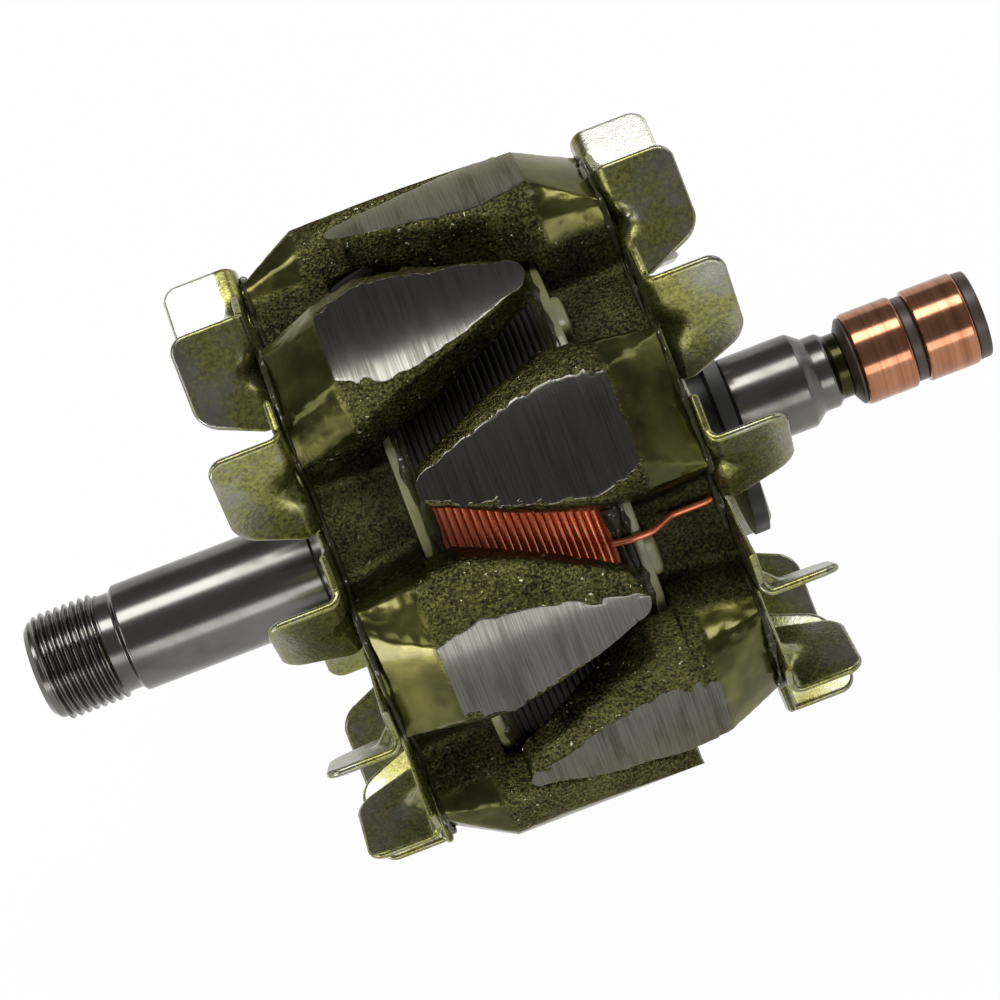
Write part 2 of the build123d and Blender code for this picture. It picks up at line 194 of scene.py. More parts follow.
def turned(profile, segments):
    """A surface of revolution: each (place along the shaft, radius) goes once round the axis."""
    angles = np.linspace(0, TURN, segments, endpoint=False)
    points = round_axis(profile[:, :1], profile[:, 1:], angles[None, :])
    return points, grid_faces(len(profile), segments, close_columns=True)


def joined(parts):
    """Several (points, faces) pairs as one."""
    points = [part[0].reshape(-1, 3) for part in parts]
    starts = np.cumsum([0] + [len(part) for part in points[:-1]])
    faces = [part[1] + start for part, start in zip(parts, starts)]
    return np.concatenate(points), np.concatenate(faces)


def tube(path, radius, sides=12):
    """A round tube: at each point of the path, a circle square to its direction.

    The circle's first axis is the world direction least along the path, made square to the path, so
    the tube doesn't twist on the gentle routes that it is used for. The ends are closed by their centres.
    """
    ahead = unit(np.gradient(path, axis=0))
    across = np.eye(3)[np.argmin(np.abs(ahead).max(axis=0))]
    first = unit(across - ahead * (ahead @ across)[:, None])
    second = np.cross(ahead, first)
    angles = np.linspace(0, TURN, sides, endpoint=False)[None, :, None]
    radius = np.broadcast_to(radius, len(path))[:, None, None]
    points = path[:, None] + radius * (first[:, None] * np.cos(angles) + second[:, None] * np.sin(angles))
    ends = [np.repeat(path[[end]], sides, axis=0)[None] for end in (0, -1)]
    points = np.concatenate([ends[0], points, ends[1]])
    return points, grid_faces(len(points), sides, close_columns=True)


def softened(rows, times):
    """The same rows with each inner one averaged with its neighbours, several times over."""
    for _ in range(times):
        rows[1:-1] = (rows[:-2] + 2 * rows[1:-1] + rows[2:]) / 4
    return rows


# The materials by their finish's name, filled by the operator that makes them
made_finishes = {}


def make_piece(name, parts, node, slot, crease=35, finish=None):
    """One object from (points, faces) pairs: seams merged, faces outwards, smooth up to the crease angle.

    It takes the finish of its slot unless another is named.
    """
    points, faces = joined(parts)
    mesh = bpy.data.meshes.new(name)
    mesh.vertices.add(len(points))
    mesh.vertices.foreach_set("co", points.astype(np.float32).ravel())
    mesh.loops.add(faces.size)
    mesh.loops.foreach_set("vertex_index", faces.astype(np.int32).ravel())
    mesh.polygons.add(len(faces))
    mesh.polygons.foreach_set("loop_start", np.arange(0, faces.size, 4, dtype=np.int32))
    mesh.update(calc_edges=True)
    mesh.validate()
    work = bmesh.new()
    work.from_mesh(mesh)
    bmesh.ops.remove_doubles(work, verts=work.verts, dist=0.002 * MM)
    bmesh.ops.recalc_face_normals(work, faces=work.faces)
    work.to_mesh(mesh)
    work.free()
    mesh.shade_smooth()
    mesh.set_sharp_from_angle(angle=math.radians(crease))
    mesh.materials.append(made_finishes[finish or slot])
    piece = bpy.data.objects.new(name, mesh)
    bpy.context.scene.collection.objects.link(piece)
    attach(piece, "root")
    if node:
        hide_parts(node)
    return piece


# Material nodes


class Value:
    """An output socket of a material's nodes that can be used in a formula like a number."""

    def __init__(self, tree, socket):
        self.tree = tree
        self.socket = socket

    def node(self, kind, settings=None, inputs=None, output=0):
        """Makes a node of any kind, with its settings and inputs, and returns one of its outputs."""
        made = self.tree.nodes.new(kind)
        for name, setting in (settings or {}).items():
            setattr(made, name, setting)
        for name, source in (inputs or {}).items():
            if isinstance(source, Value):
                self.tree.links.new(source.socket, made.inputs[name])
            else:
                made.inputs[name].default_value = source
        return Value(self.tree, made.outputs[output])

    def math(self, operation, *others):
        """A Math node on this value and up to two others."""
        inputs = dict(enumerate([self, *others]))
        return self.node("ShaderNodeMath", {"operation": operation}, inputs)

    def __add__(self, other):
        return self.math("ADD", other)

    __radd__ = __add__

    def __sub__(self, other):
        return self.math("SUBTRACT", other)

    def __rsub__(self, other):
        return self.math("MULTIPLY_ADD", -1, other)

    def __mul__(self, other):
        return self.math("MULTIPLY", other)

    __rmul__ = __mul__

    def noise(self, size, detail=3, rough=0.55, stretch=(1, 1, 1)):
        """Noise from 0 to 1 whose lumps are about a size across, and longer where the stretch is more."""
        scale = tuple(1 / (size * factor) for factor in stretch)
        place = self.node("ShaderNodeMapping", None, {"Vector": self, "Scale": scale})
        inputs = {"Vector": place, "Scale": 1, "Detail": detail, "Roughness": rough}
        return self.node("ShaderNodeTexNoise", None, inputs)

    def ramp(self, low, high):
        """Zero at low and one at high, with a smooth step between."""
        settings = {"interpolation_type": "SMOOTHSTEP"}
        return self.node("ShaderNodeMapRange", settings, {"Value": self, "From Min": low, "From Max": high})

    def between(self, first, second):
        """The first number where this is zero and the second where it is one."""
        return first + (second - first) * self

    def mix(self, first, second):
        """The first colour where this is zero and the second where it is one."""
        settings = {"data_type": "RGBA"}
        return self.node("ShaderNodeMix", settings, {0: self, 6: first, 7: second}, output=2)

    def bump(self, height, strength=1.0):
        """A normal whose relief is this value times a height in metres."""
        inputs = {"Height": self, "Distance": height, "Strength": strength}
        return self.node("ShaderNodeBump", None, inputs)


def colour(*parts):
    """A solid colour from its red, green and blue."""
    return (*parts, 1.0)


def along_shaft(place):
    """The place's distance along the shaft."""
    return place.node("ShaderNodeSeparateXYZ", None, {"Vector": place})


def from_axis(place):
    """The place's distance from the shaft's axis."""
    flat = place.node("ShaderNodeVectorMath", {"operation": "MULTIPLY"}, {0: place, 1: (0, 1, 1)})
    return place.node("ShaderNodeVectorMath", {"operation": "LENGTH"}, {0: flat}, output=1)


def towards(place, angle):
    """How far the place lies from the axis towards an angle round the shaft, in degrees."""
    turn = math.radians(angle)
    direction = (0, math.cos(turn), math.sin(turn))
    settings = {"operation": "DOT_PRODUCT"}
    return place.node("ShaderNodeVectorMath", settings, {0: place, 1: direction}, output=1)


def turning_lines(place, size):
    """Fine lines round the shaft, as a lathe or a grinding wheel leaves them."""
    return place.noise(size, detail=4, rough=0.6, stretch=(1, 60, 60))


# Finishes: each gives the sockets that vary, from the place on the object and the sidebar's colours


def ground_steel(place, tints):
    """Fine lines round the shaft, a few stains, and varnish on the neck beside the slip rings."""
    neck_start = 51.8 * MM
    lines = turning_lines(place, 0.12 * MM)
    stain = place.noise(9 * MM, stretch=(1.6, 1, 1)).ramp(0.42, 0.75)
    neck = along_shaft(place).ramp(neck_start, neck_start + 1 * MM)
    return {
        "Base Color": neck.mix(stain.mix(tints.steel, tints.steel_stain), tints.neck),
        "Roughness": 0.13 + 0.12 * lines + 0.08 * stain,
        "Normal": lines.bump(0.003 * MM, 0.5),
    }


def varnished_iron(place, tints):
    """Grainy forging under olive varnish, bare where it was turned to the rotor's radius.

    Past the shoulder, on the cones at the roots, the varnish lies thicker and smoother. Towards the
    shaft, down between the claws, the forging is darker, a painted shade, but less so near the fans.
    In the valley that the first lead runs along, at 140 degrees round the shaft, the painted shade
    reaches out to the fans. Bright specks painted on the outer forging stand for glints of dried varnish.
    """
    poles = bpy.context.scene.rotor_poles
    shoulder = poles.half_length - poles.shoulder_length
    out = from_axis(place)
    edge = place.noise(1.2 * MM)
    bare = (out + edge * (0.04 * MM)).ramp(poles.radius - 0.03 * MM, poles.radius)
    height = (along_shaft(place) - POLE_CENTRE).math("ABSOLUTE", 0.0)
    pad = (height + 1.5 * MM * place.noise(3 * MM)).ramp(shoulder, shoulder + 1.5 * MM)
    pad = pad * out.ramp(poles.radius - 9 * MM, poles.radius - 7 * MM)
    lines = turning_lines(place, 0.24 * MM)
    grain = place.noise(0.45 * MM, detail=3, rough=0.65)
    pools = place.noise(8 * MM, detail=3)
    smear = place.noise(6 * MM, detail=4, stretch=(0.5, 2.2, 2.2)).ramp(0.45, 0.72)
    # Painted shade: the valley that the first lead runs along keeps the darker colours out to the fans
    shade_darkened = towards(place, 140).ramp(30 * MM, 33 * MM) * along_shaft(place).ramp(5 * MM, 12 * MM)
    # Painted shade darkens the forging towards the shaft: this is how far each place is clear of it, a
    # little more near the fans, though not in the first lead's valley
    near_end = 0.36 * (height + 3 * MM * pools).ramp(19 * MM, 25 * MM) * (1 - shade_darkened)
    raised = out.ramp(poles.radius - 14 * MM, poles.radius - 4 * MM).math("MAXIMUM", near_end)
    speckle = (grain + 0.35 * pools).ramp(0.52, 0.86)
    high = speckle.mix(tints.forging_dark, tints.forging)
    # Painted shade: the forging's darker colours where it lies down towards the shaft
    shaded = speckle.mix(tints.valley_dark, tints.valley)
    # Painted glints: bright specks of colour where varnish dried, on the forging clear of the painted shade
    drops_and_glints = place.noise(0.8 * MM, detail=2).ramp(0.68, 0.72) * raised
    forged = drops_and_glints.mix(raised.mix(shaded, high), tints.drops_and_glints)
    thick = pools.ramp(0.35, 0.75).mix(tints.varnish_dark, tints.varnish)
    worn = (0.9 * lines + 0.22 * smear).ramp(0.25, 0.85)
    ground = worn.mix(tints.face, tints.face_dark)
    relief = bare.between((grain + 0.8 * drops_and_glints) * (1 - 0.95 * pad), 0.07 * lines)
    rough_skin = 0.3 - 0.16 * raised + 0.15 * pools
    rough_face = 0.11 + 0.11 * lines + 0.08 * smear
    return {
        "Base Color": bare.mix(pad.mix(forged, thick), ground),
        "Metallic": bare.between(0.88, 1.0),
        "Roughness": bare.between(rough_skin, rough_face),
        "Coat Weight": 0.2 * raised * pad * (1 - bare),
        "Normal": relief.bump(0.22 * MM, 1.0),
    }


def resin_varnish(place, tints):
    """Clear brown resin, set in drops."""
    cloud = place.noise(2.5 * MM, detail=3)
    glint = place.noise(1.1 * MM, detail=2).ramp(0.56, 0.64)
    return {
        "Base Color": cloud.mix(tints.resin_dark, tints.resin),
        "Roughness": 0.45 - 0.35 * glint,
        "Coat Weight": glint,
    }


def core_iron(place, tints):
    """Bare iron with a thin scale."""
    scale = place.noise(1.5 * MM, detail=4)
    return {
        "Base Color": scale.mix(tints.core_dark, tints.core),
        "Roughness": 0.35 + 0.25 * scale,
        "Normal": scale.bump(0.03 * MM),
    }


def fan_sheet(place, tints):
    """Bright zinc, with dried varnish in patches that are thickest near the poles.

    The upper blades, at 43 degrees round the shaft, carry a painted highlight of bare, brighter zinc.
    """
    height = along_shaft(place).math("ABSOLUTE", 0.0)
    near = height.ramp(42 * MM, 28 * MM)
    patch = place.noise(6 * MM, detail=4, rough=0.6)
    speckle = place.noise(0.45 * MM, detail=2)
    # Painted highlight: the upper blades, at 43 degrees round the shaft, are bare of varnish
    brightest = towards(place, 43).math("DIVIDE", from_axis(place)).ramp(0.93, 0.95)
    brightest = brightest * height.ramp(29 * MM, 30.5 * MM)
    varnish = (patch + 0.2 * near + 0.35 * speckle - 0.6 * brightest).ramp(0.56, 0.92)
    grain = place.noise(0.7 * MM, detail=4)
    cloud = place.noise(5 * MM, detail=3)
    # The zinc is at its lightest where the upper blades carry the painted highlight
    zinc = (cloud + brightest).ramp(0, 1.8).mix(tints.zinc_dark, tints.zinc)
    dried = (0.6 * grain + 0.6 * speckle).ramp(0.35, 0.8).mix(tints.dried_dark, tints.dried)
    return {
        "Base Color": varnish.mix(zinc, dried),
        "Metallic": varnish.between(0.97, 0.88),
        "Roughness": varnish.between(0.16 + 0.16 * grain + 0.1 * brightest, 0.18 + 0.2 * grain),
        "Coat Weight": 0.12 * varnish,
        "Normal": (grain + 1.5 * speckle).bump(0.03 * MM, 0.6),
    }


def bobbin_nylon(place, tints):
    """Pale nylon, stained by the varnish."""
    cloud = place.noise(4 * MM, detail=3)
    return {
        "Base Color": cloud.mix(tints.nylon_dark, tints.nylon),
        "Roughness": 0.3 + 0.2 * cloud,
        "Normal": cloud.bump(0.05 * MM),
    }


def coil_copper(place, tints):
    """Red enamel over copper, darkened by resin and painted shade all round but for one lit strip.

    The strip is at 135 degrees, facing the front, and fades at both ends, towards the drive end into a
    painted claw shadow. Between the turns' crests a painted shade darkens it.
    """
    cloud = place.noise(5 * MM, detail=3)
    grain = place.noise(0.4 * MM, detail=3)
    along = along_shaft(place)
    # Painted shadow: the lit strip fades into the dark colour at both ends, at the drive end as a claw's
    # shadow
    ends = along.ramp(-16 * MM, -2 * MM) * along.ramp(12.5 * MM, 9.5 * MM)
    # Painted light: the strip facing the front is left lit; elsewhere resin and painted shade darken the
    # winding
    brightest = (towards(place, 135) + 1.2 * MM * cloud).ramp(35.1 * MM, 36.1 * MM) * ends
    # Painted shade between the turns' crests
    crest = from_axis(place).ramp(35.8 * MM, 36.25 * MM)
    enamel = crest.mix(tints.groove, cloud.mix(tints.enamel_dark, tints.enamel))
    return {
        "Base Color": brightest.mix(cloud.mix(tints.shade_darkened_dark, tints.shade_darkened), enamel),
        "Metallic": brightest.between(0.0, 0.7),
        "Roughness": brightest.between(0.55, 0.18) + 0.14 * grain,
        "Coat Weight": 0.7 * brightest,
        "Normal": grain.bump(0.02 * MM),
    }


def lead_copper(place, tints):
    """Enamelled wire, darker in places."""
    cloud = place.noise(2 * MM, detail=3)
    return {"Base Color": cloud.mix(tints.lead_dark, tints.lead), "Roughness": 0.25 + 0.15 * cloud}


def ring_copper(place, tints):
    """Turned copper, with darker bands where it has tarnished."""
    lines = turning_lines(place, 0.1 * MM)
    bands = turning_lines(place, 1.3 * MM).ramp(0.35, 0.7)
    return {
        "Base Color": bands.mix(tints.ring, tints.ring_dark),
        "Roughness": 0.11 + 0.1 * lines,
        "Normal": lines.bump(0.003 * MM, 0.5),
    }


def moulding(place, dark, light):
    """A moulded resin with a slight orange-peel surface."""
    cloud = place.noise(3 * MM, detail=3)
    grain = place.noise(0.35 * MM, detail=2)
    return {
        "Base Color": cloud.mix(dark, light),
        "Roughness": 0.3 + 0.15 * cloud,
        "Normal": grain.bump(0.012 * MM),
    }


def hub_moulding(place, tints):
    """The slip rings' dark brown hub."""
    return moulding(place, tints.hub_dark, tints.hub)


def cap_moulding(place, tints):
    """The leads' black cap."""
    return moulding(place, tints.cap_dark, tints.cap)


def sleeve(place, tints):
    """The leads' brown sleeves."""
    return moulding(place, tints.sleeve_dark, tints.sleeve)


# Each finish's varying sockets, and the shader's sockets that hold one value all over it
FINISHES = {
    "ground_steel": (ground_steel, {"Metallic": 1.0}),
    "varnished_iron": (varnished_iron, {"Coat Roughness": 0.06, "Specular Tint": colour(0.62, 0.6, 0.5)}),
    "resin_varnish": (resin_varnish, {"Coat Roughness": 0.03, "Specular IOR Level": 0.2}),
    "core_iron": (core_iron, {"Metallic": 0.9}),
    "fan_sheet": (fan_sheet, {"Coat Roughness": 0.15}),
    "bobbin_nylon": (bobbin_nylon, {"Coat Weight": 0.4}),
    "coil_copper": (coil_copper, {"Coat Roughness": 0.08, "Specular IOR Level": 0.25}),
    "lead_copper": (lead_copper, {"Metallic": 0.6, "Coat Weight": 0.5}),
    "ring_copper": (ring_copper, {"Metallic": 1.0}),
    "hub_moulding": (hub_moulding, {"IOR": 1.5}),
    "cap_moulding": (cap_moulding, {"IOR": 1.5}),
    "sleeve": (sleeve, {"IOR": 1.5}),
}


def make_finish(name, varying, fixed):
    """A material from the function that gives its varying sockets and the table of its fixed ones."""
    material = bpy.data.materials.new(name)
    material.use_nodes = True
    tree = material.node_tree
    shader = next(node for node in tree.nodes if node.type == "BSDF_PRINCIPLED")
    for socket, number in fixed.items():
        shader.inputs[socket].default_value = number
    place = Value(tree, tree.nodes.new("ShaderNodeTexCoord").outputs["Object"])
    for socket, value in varying(place, bpy.context.scene.rotor_tints).items():
        tree.links.new(value.socket, shader.inputs[socket])
    return material


# Claw poles

# How far the forged skin is drawn above the turned face, before what stands out is cut back to it
FORGED_SKIN = 0.22 * MM

# How much higher it is drawn at the middle of the face, as a share of half the face's width
FORGED_CROWN = 0.1

# The forging's lumps as (their size, their share of the roughness), and how far the skin is then sunk
RELIEF = [(7 * MM, 0.14), (2.6 * MM, 0.1), (0.9 * MM, 0.1)]
RELIEF_SUNK = 0.2

# The power by which a bevel's fall grows, and the share of each bevel's width that is left at the tip
BEVEL_CURVE = 1.3
BROAD_TIP_SHARE = 0.45
NARROW_TIP_SHARE = 0.15

# Columns of a claw's section: over its face, down its bevel, down its wall and along its underside
FACE_COLUMNS = 20
BEVEL_COLUMNS = 15
WALL_COLUMNS = 11
UNDER_COLUMNS = 21

# Its rows: over the outer face, along the plate, across the inner face, along the claw and round its tip
FACE_ROWS = 9
PLATE_ROWS = 24
STEP_ROWS = 14
CLAW_ROWS = 52
TIP_ROWS = 10


class ClawShape:
    """How wide, thick and high one claw is, at heights measured from the middle of the poles."""

    def __init__(self, sizes, trim, root_trim):
        self.sizes = sizes
        self.trim = trim
        self.root_trim = root_trim
        self.inner_face = sizes.half_length - sizes.plate_thickness
        self.shoulder = sizes.half_length - sizes.shoulder_length
        self.widest = sizes.half_length - sizes.widest_from_face
        self.round_start = sizes.tip_half_width - sizes.reach
        self.stations = [self.round_start, self.widest, self.shoulder, sizes.half_length]

    def half_width(self, height, widths):
        """Straight runs between the tip, the widest place, the shoulder and the outer face.

        The first run bows outwards by a parabola, and at the tip all is rounded off by a quarter circle.
        """
        share = np.clip((height - self.round_start) / (self.widest - self.round_start), 0, 1)
        bulge = self.sizes.side_bulge * 4 * share * (1 - share)
        into_tip = np.clip((self.round_start - height) / self.sizes.tip_half_width, 0, 1)
        return (np.interp(height, self.stations, widths) + bulge) * np.sqrt(1 - into_tip * into_tip)

    def face_half_width(self, height, side):
        """Half the turned face's width, which is trimmed on its broad bevel's side."""
        sizes = self.sizes
        trim = self.trim if side < 0 else 0.0
        return self.half_width(height, [
            sizes.tip_half_width - 0.4 * trim,
            sizes.face_half_width - trim,
            sizes.shoulder_half_width - trim - 0.3 * self.root_trim,
            sizes.root_half_width - 0.5 * MM - 0.5 * trim - self.root_trim,
        ])

    def wall_half_width(self, height, side):
        """Half the width between the walls, at the foot of the bevels."""
        sizes = self.sizes
        bevel = sizes.broad_bevel if side < 0 else sizes.narrow_bevel
        tip_share = BROAD_TIP_SHARE if side < 0 else NARROW_TIP_SHARE
        return self.half_width(height, [
            sizes.tip_half_width + tip_share * bevel,
            sizes.face_half_width + bevel,
            sizes.root_half_width + 0.4 * bevel,
            sizes.root_half_width,
        ])

    def turned_radius(self, height):
        """The rotor's radius, and past the shoulder a cone."""
        drop = self.sizes.shoulder_drop * (height - self.shoulder) / self.sizes.shoulder_length
        return self.sizes.radius - np.maximum(drop, 0)

    def under_radius(self, height):
        """The underside rises in a straight line from the plate's inner face to the tip."""
        sizes = self.sizes
        share = np.clip((self.inner_face - height) / (self.inner_face + sizes.reach), 0, 1)
        return sizes.under_root + (sizes.radius - sizes.tip_depth - sizes.under_root) * share


def claw_half(shape, height, side, in_plate):
    """One side of the claw's section at each height, from the middle of its face outwards and down.

    Columns run over the forged top, down the bevel, down the wall, and then either round the foot of
    the wall into the valley, or in along the underside. Each row holds (across, out) pairs.
    """
    sizes = shape.sizes
    height = height[:, None]
    face = shape.face_half_width(height, side)
    wall = shape.wall_half_width(height, side)
    radius = shape.turned_radius(height)
    slope = math.tan(sizes.broad_slope if side < 0 else sizes.narrow_slope)
    top = between(0.0, 1.0, FACE_COLUMNS)[None, :]
    over = FORGED_SKIN + FORGED_CROWN * face * (1 - top)
    edge = np.sqrt(radius**2 - face**2) + FORGED_SKIN
    down = between(0.0, 1.0, BEVEL_COLUMNS)[None, 1:]
    drop = (wall - face) * slope + FORGED_SKIN
    bevel_end = edge - drop
    under = shape.under_radius(height)
    level = np.sqrt(np.maximum(under**2 - wall**2, 0))
    fall = between(0.0, 1.0, WALL_COLUMNS)[None, 1:]
    parts = [
        (face * top, np.sqrt(radius**2 - (face * top) ** 2) + over),
        (face + (wall - face) * down, edge - drop * down**BEVEL_CURVE),
        (wall + 0 * fall, bevel_end + (level - bevel_end) * fall),
    ]
    if in_plate:
        foot = np.sqrt(sizes.valley_radius**2 - wall**2)
        parts.append((wall + 0 * fall, level + (foot - level) * fall))
        angle = np.arcsin(wall / sizes.valley_radius)
        angle = angle + (math.pi / sizes.count - angle) * fall
        parts.append((sizes.valley_radius * np.sin(angle), sizes.valley_radius * np.cos(angle)))
    else:
        inwards = wall * (1 - between(0.0, 1.0, UNDER_COLUMNS)[None, 1:])
        parts.append((inwards, np.sqrt(np.maximum(under**2 - inwards**2, 0))))
    pairs = [np.stack(np.broadcast_arrays(side * across, out), axis=-1) for across, out in parts]
    return np.concatenate(pairs, axis=1)


def claw_rows(shape, height, in_plate):
    """Whole sections, from one valley or the underside's middle over the claw to the other."""
    left = claw_half(shape, height, -1, in_plate)[:, :0:-1]
    right = claw_half(shape, height, 1, in_plate)
    columns = np.concatenate([left, right], axis=1).swapaxes(0, 1)
    return softened(columns, 5).swapaxes(0, 1)


def bore_lining(line, sizes, side):
    """The plate's edge beside a valley: from a line on the inner face to the bore, and out through it."""
    radius = np.linalg.norm(line[:, 1:], axis=1)[:, None]
    ring = line * (1, 0, 0) + line * (0, 1, 1) / radius * sizes.bore_radius
    outside = ring * (0, 1, 1) + (POLE_CENTRE + side * sizes.half_length, 0, 0)
    inside = np.concatenate([between(line, ring, 6), outside[None]])
    return inside, grid_faces(*inside.shape[:2])


def one_claw(shape, angle, side):
    """A claw with its share of the plate, at an angle round the shaft and on one side of the middle.

    Rows run from the bore over the outer face, along the plate, across the inner face to the underside
    and along the claw to its tip. The forged skin is moved along its normals by smooth noise, and what
    then stands above the turned envelope is brought down onto it, which leaves the turned face.
    """
    sizes = shape.sizes
    plate = np.append(np.linspace(shape.inner_face, sizes.half_length, PLATE_ROWS), shape.shoulder)
    plate = np.unique(plate)[::-1]
    claw = np.linspace(shape.inner_face, shape.round_start, CLAW_ROWS)
    rounding = np.sin(np.linspace(0, math.pi / 2, TIP_ROWS)[1:])
    tip = shape.round_start - sizes.tip_half_width * rounding
    claw = np.concatenate([claw, tip])
    outer = claw_rows(shape, plate, True)
    inner = claw_rows(shape, claw, False)
    face = between(unit(outer[0]) * sizes.bore_radius, outer[0], FACE_ROWS)[:-1]
    step = between(outer[-1], inner[0], STEP_ROWS)[1:-1]
    section = np.concatenate([face, outer, step, inner])
    heights = [np.full(len(face), sizes.half_length), plate, np.full(len(step), shape.inner_face), claw]
    height = np.concatenate(heights)[:, None]
    points = swung(POLE_CENTRE + side * height, section[..., 0], section[..., 1], angle)

    plate_end = len(face) + len(plate)
    rough = [np.zeros(len(face)), blend(0, 3, np.arange(len(plate)))]
    rough += [np.zeros(len(step)), blend(0, 3, np.arange(len(claw)))]
    rough = np.concatenate(rough) * blend(-1, 3, len(height) - np.arange(len(height)))
    rough[plate_end - 1] = 0
    radial = unit(points * (0, 1, 1))
    normal = grid_normals(points, 1e-12)
    middle = points.shape[1] // 2
    normal *= np.sign((normal * radial)[len(face) : len(face) + 20, middle].sum())
    normal[:plate_end, [0, -1]] = radial[:plate_end, [0, -1]]
    normal[plate_end:, [0, -1]] = -radial[plate_end:, [0, -1]]
    relief = -RELIEF_SUNK
    for seed, (size, share) in enumerate(RELIEF):
        relief = relief + share * lumps(points, size, seed)
    points = points + normal * (rough[:, None] * relief * sizes.roughness)[..., None]
    radius = np.linalg.norm(points[..., 1:], axis=-1)
    most = shape.turned_radius(side * (points[..., 0] - POLE_CENTRE))
    points[..., 1:] *= np.minimum(1, most / radius)[..., None]

    rows = slice(plate_end - 1, plate_end + len(step) + 1)
    linings = [bore_lining(points[rows, column], sizes, side) for column in (0, -1)]
    return joined([(points, grid_faces(*points.shape[:2])), *linings])


def claw_shapes(sizes):
    """Each claw of both halves as (side, shape, angle); the drive end's lie between the others."""
    for side, first, trims in ((1, 0, REAR_TRIMS), (-1, math.pi / sizes.count, DRIVE_TRIMS)):
        for number in range(sizes.count):
            trim, root_trim = trims[number % len(trims)]
            yield side, ClawShape(sizes, trim * MM, root_trim * MM), first + TURN * number / sizes.count


def claw_pole(name, node, side, sizes):
    """The plate and its claws: like parts, each with its own trim of the turned face."""
    parts = [one_claw(shape, angle, side) for own, shape, angle in claw_shapes(sizes) if own == side]
    return make_piece(name, parts, node, "varnished_iron", crease=28)


# Turned pieces

# Steps round the axis
SEGMENTS = 160
SHAFT_SEGMENTS = 180
COIL_SEGMENTS = 240


def turned_piece(name, outline, node, slot):
    """One object from an outline of (place along the shaft, radius) corners."""
    parts = [turned(spaced(np.asarray(outline), 1.5 * MM), SEGMENTS)]
    return make_piece(name, parts, node, slot, crease=40)


def shaft_nose(sizes, root, thread_start):
    """The threaded end, with its centre hole, up to the first thread."""
    chamfer = 0.9 * MM
    return [
        (sizes.start + sizes.centre_depth, 0),
        (sizes.start, sizes.centre_radius),
        (sizes.start, root - chamfer),
        (sizes.start + chamfer, root),
        (thread_start, root),
    ]


def shaft_rest(sizes, root, thread_end):
    """From the end of the thread past the journals to the neck that the slip rings' hub sits on."""
    relief_end = thread_end + sizes.relief_length
    collar = POLE_CENTRE - POLE_HALF_LENGTH - 2.4 * MM
    journal_end = collar - 1.8 * MM
    collar_radius = sizes.drive_radius - 0.25 * MM
    rear_face = POLE_CENTRE + POLE_HALF_LENGTH
    rear_start = rear_face + sizes.rear_collar_length
    rear_collar_radius = sizes.rear_radius - 0.4 * MM
    cone_start = rear_start + sizes.rear_journal_length
    land_start = cone_start + 2.0 * MM
    land_end = land_start + 2.3 * MM
    neck_start = land_end + 0.9 * MM
    neck_end = neck_start + 1.8 * MM
    return [
        (thread_end, root),
        (thread_end + 0.4 * MM, sizes.relief_radius),
        (relief_end, sizes.relief_radius),
        (relief_end + 0.7 * MM, sizes.drive_radius),
        (journal_end, sizes.drive_radius),
        (journal_end + 0.1 * MM, collar_radius),
        (collar, collar_radius),
        (collar, sizes.seat_radius),
        (rear_face, sizes.seat_radius),
        (rear_face, rear_collar_radius),
        (rear_start - 0.35 * MM, rear_collar_radius),
        (rear_start, sizes.rear_radius),
        (cone_start, sizes.rear_radius),
        (land_start, sizes.land_radius),
        (land_end, sizes.land_radius),
        (neck_start, sizes.neck_radius),
        (neck_end, sizes.neck_radius),
        (neck_end, 0),
    ]


def shaft_piece(sizes):
    """The bar, with a rolled thread: a ridge whose height is a rounded triangle wave of a helix.

    The wave's phase is the place along the thread over its pitch, less the angle over a full turn, and
    the ridge fades out at both ends of the thread.
    """
    root = sizes.thread_radius - sizes.thread_depth
    begin = sizes.start + 1.0 * MM
    end = sizes.start + sizes.thread_length
    count = round(14 * (end - begin) / sizes.pitch)
    thread = np.stack([np.linspace(begin, end, count)[1:-1], np.full(count - 2, root)], axis=1)
    nose = rounded(shaft_nose(sizes, root, begin), 0.2 * MM)
    rest = spaced(rounded(shaft_rest(sizes, root, end), 0.25 * MM), 1.5 * MM)
    points, faces = turned(np.concatenate([nose, thread, rest]), SHAFT_SEGMENTS)
    along = points[..., 0]
    angle = np.arctan2(points[..., 2], points[..., 1])
    phase = (along - begin) / sizes.pitch - angle / TURN
    wave = blend(0.1, 0.9, 1 - 2 * np.abs(phase - np.floor(phase) - 0.5))
    fade = blend(begin, begin + 1.3 * MM, along) * blend(end, end - 1.0 * MM, along)
    points[..., 1:] *= (1 + sizes.thread_depth / root * wave * fade)[..., None]
    return make_piece("shaft_bar", [(points, faces)], "shaft", "ground_steel", crease=40)


def slip_ring_piece(name, node, sizes):
    """A copper band with rounded rims, from the frame's box of its node."""
    low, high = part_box(node)
    outer = high.y
    inner = outer - sizes.ring_thickness
    corners = [(low.x, inner), (low.x, outer), (high.x, outer), (high.x, inner)]
    outline = rounded(corners, 0.6 * MM, 6)
    outline = np.concatenate([outline, outline[:1]])
    return turned_piece(name, outline, node, "ring_copper")


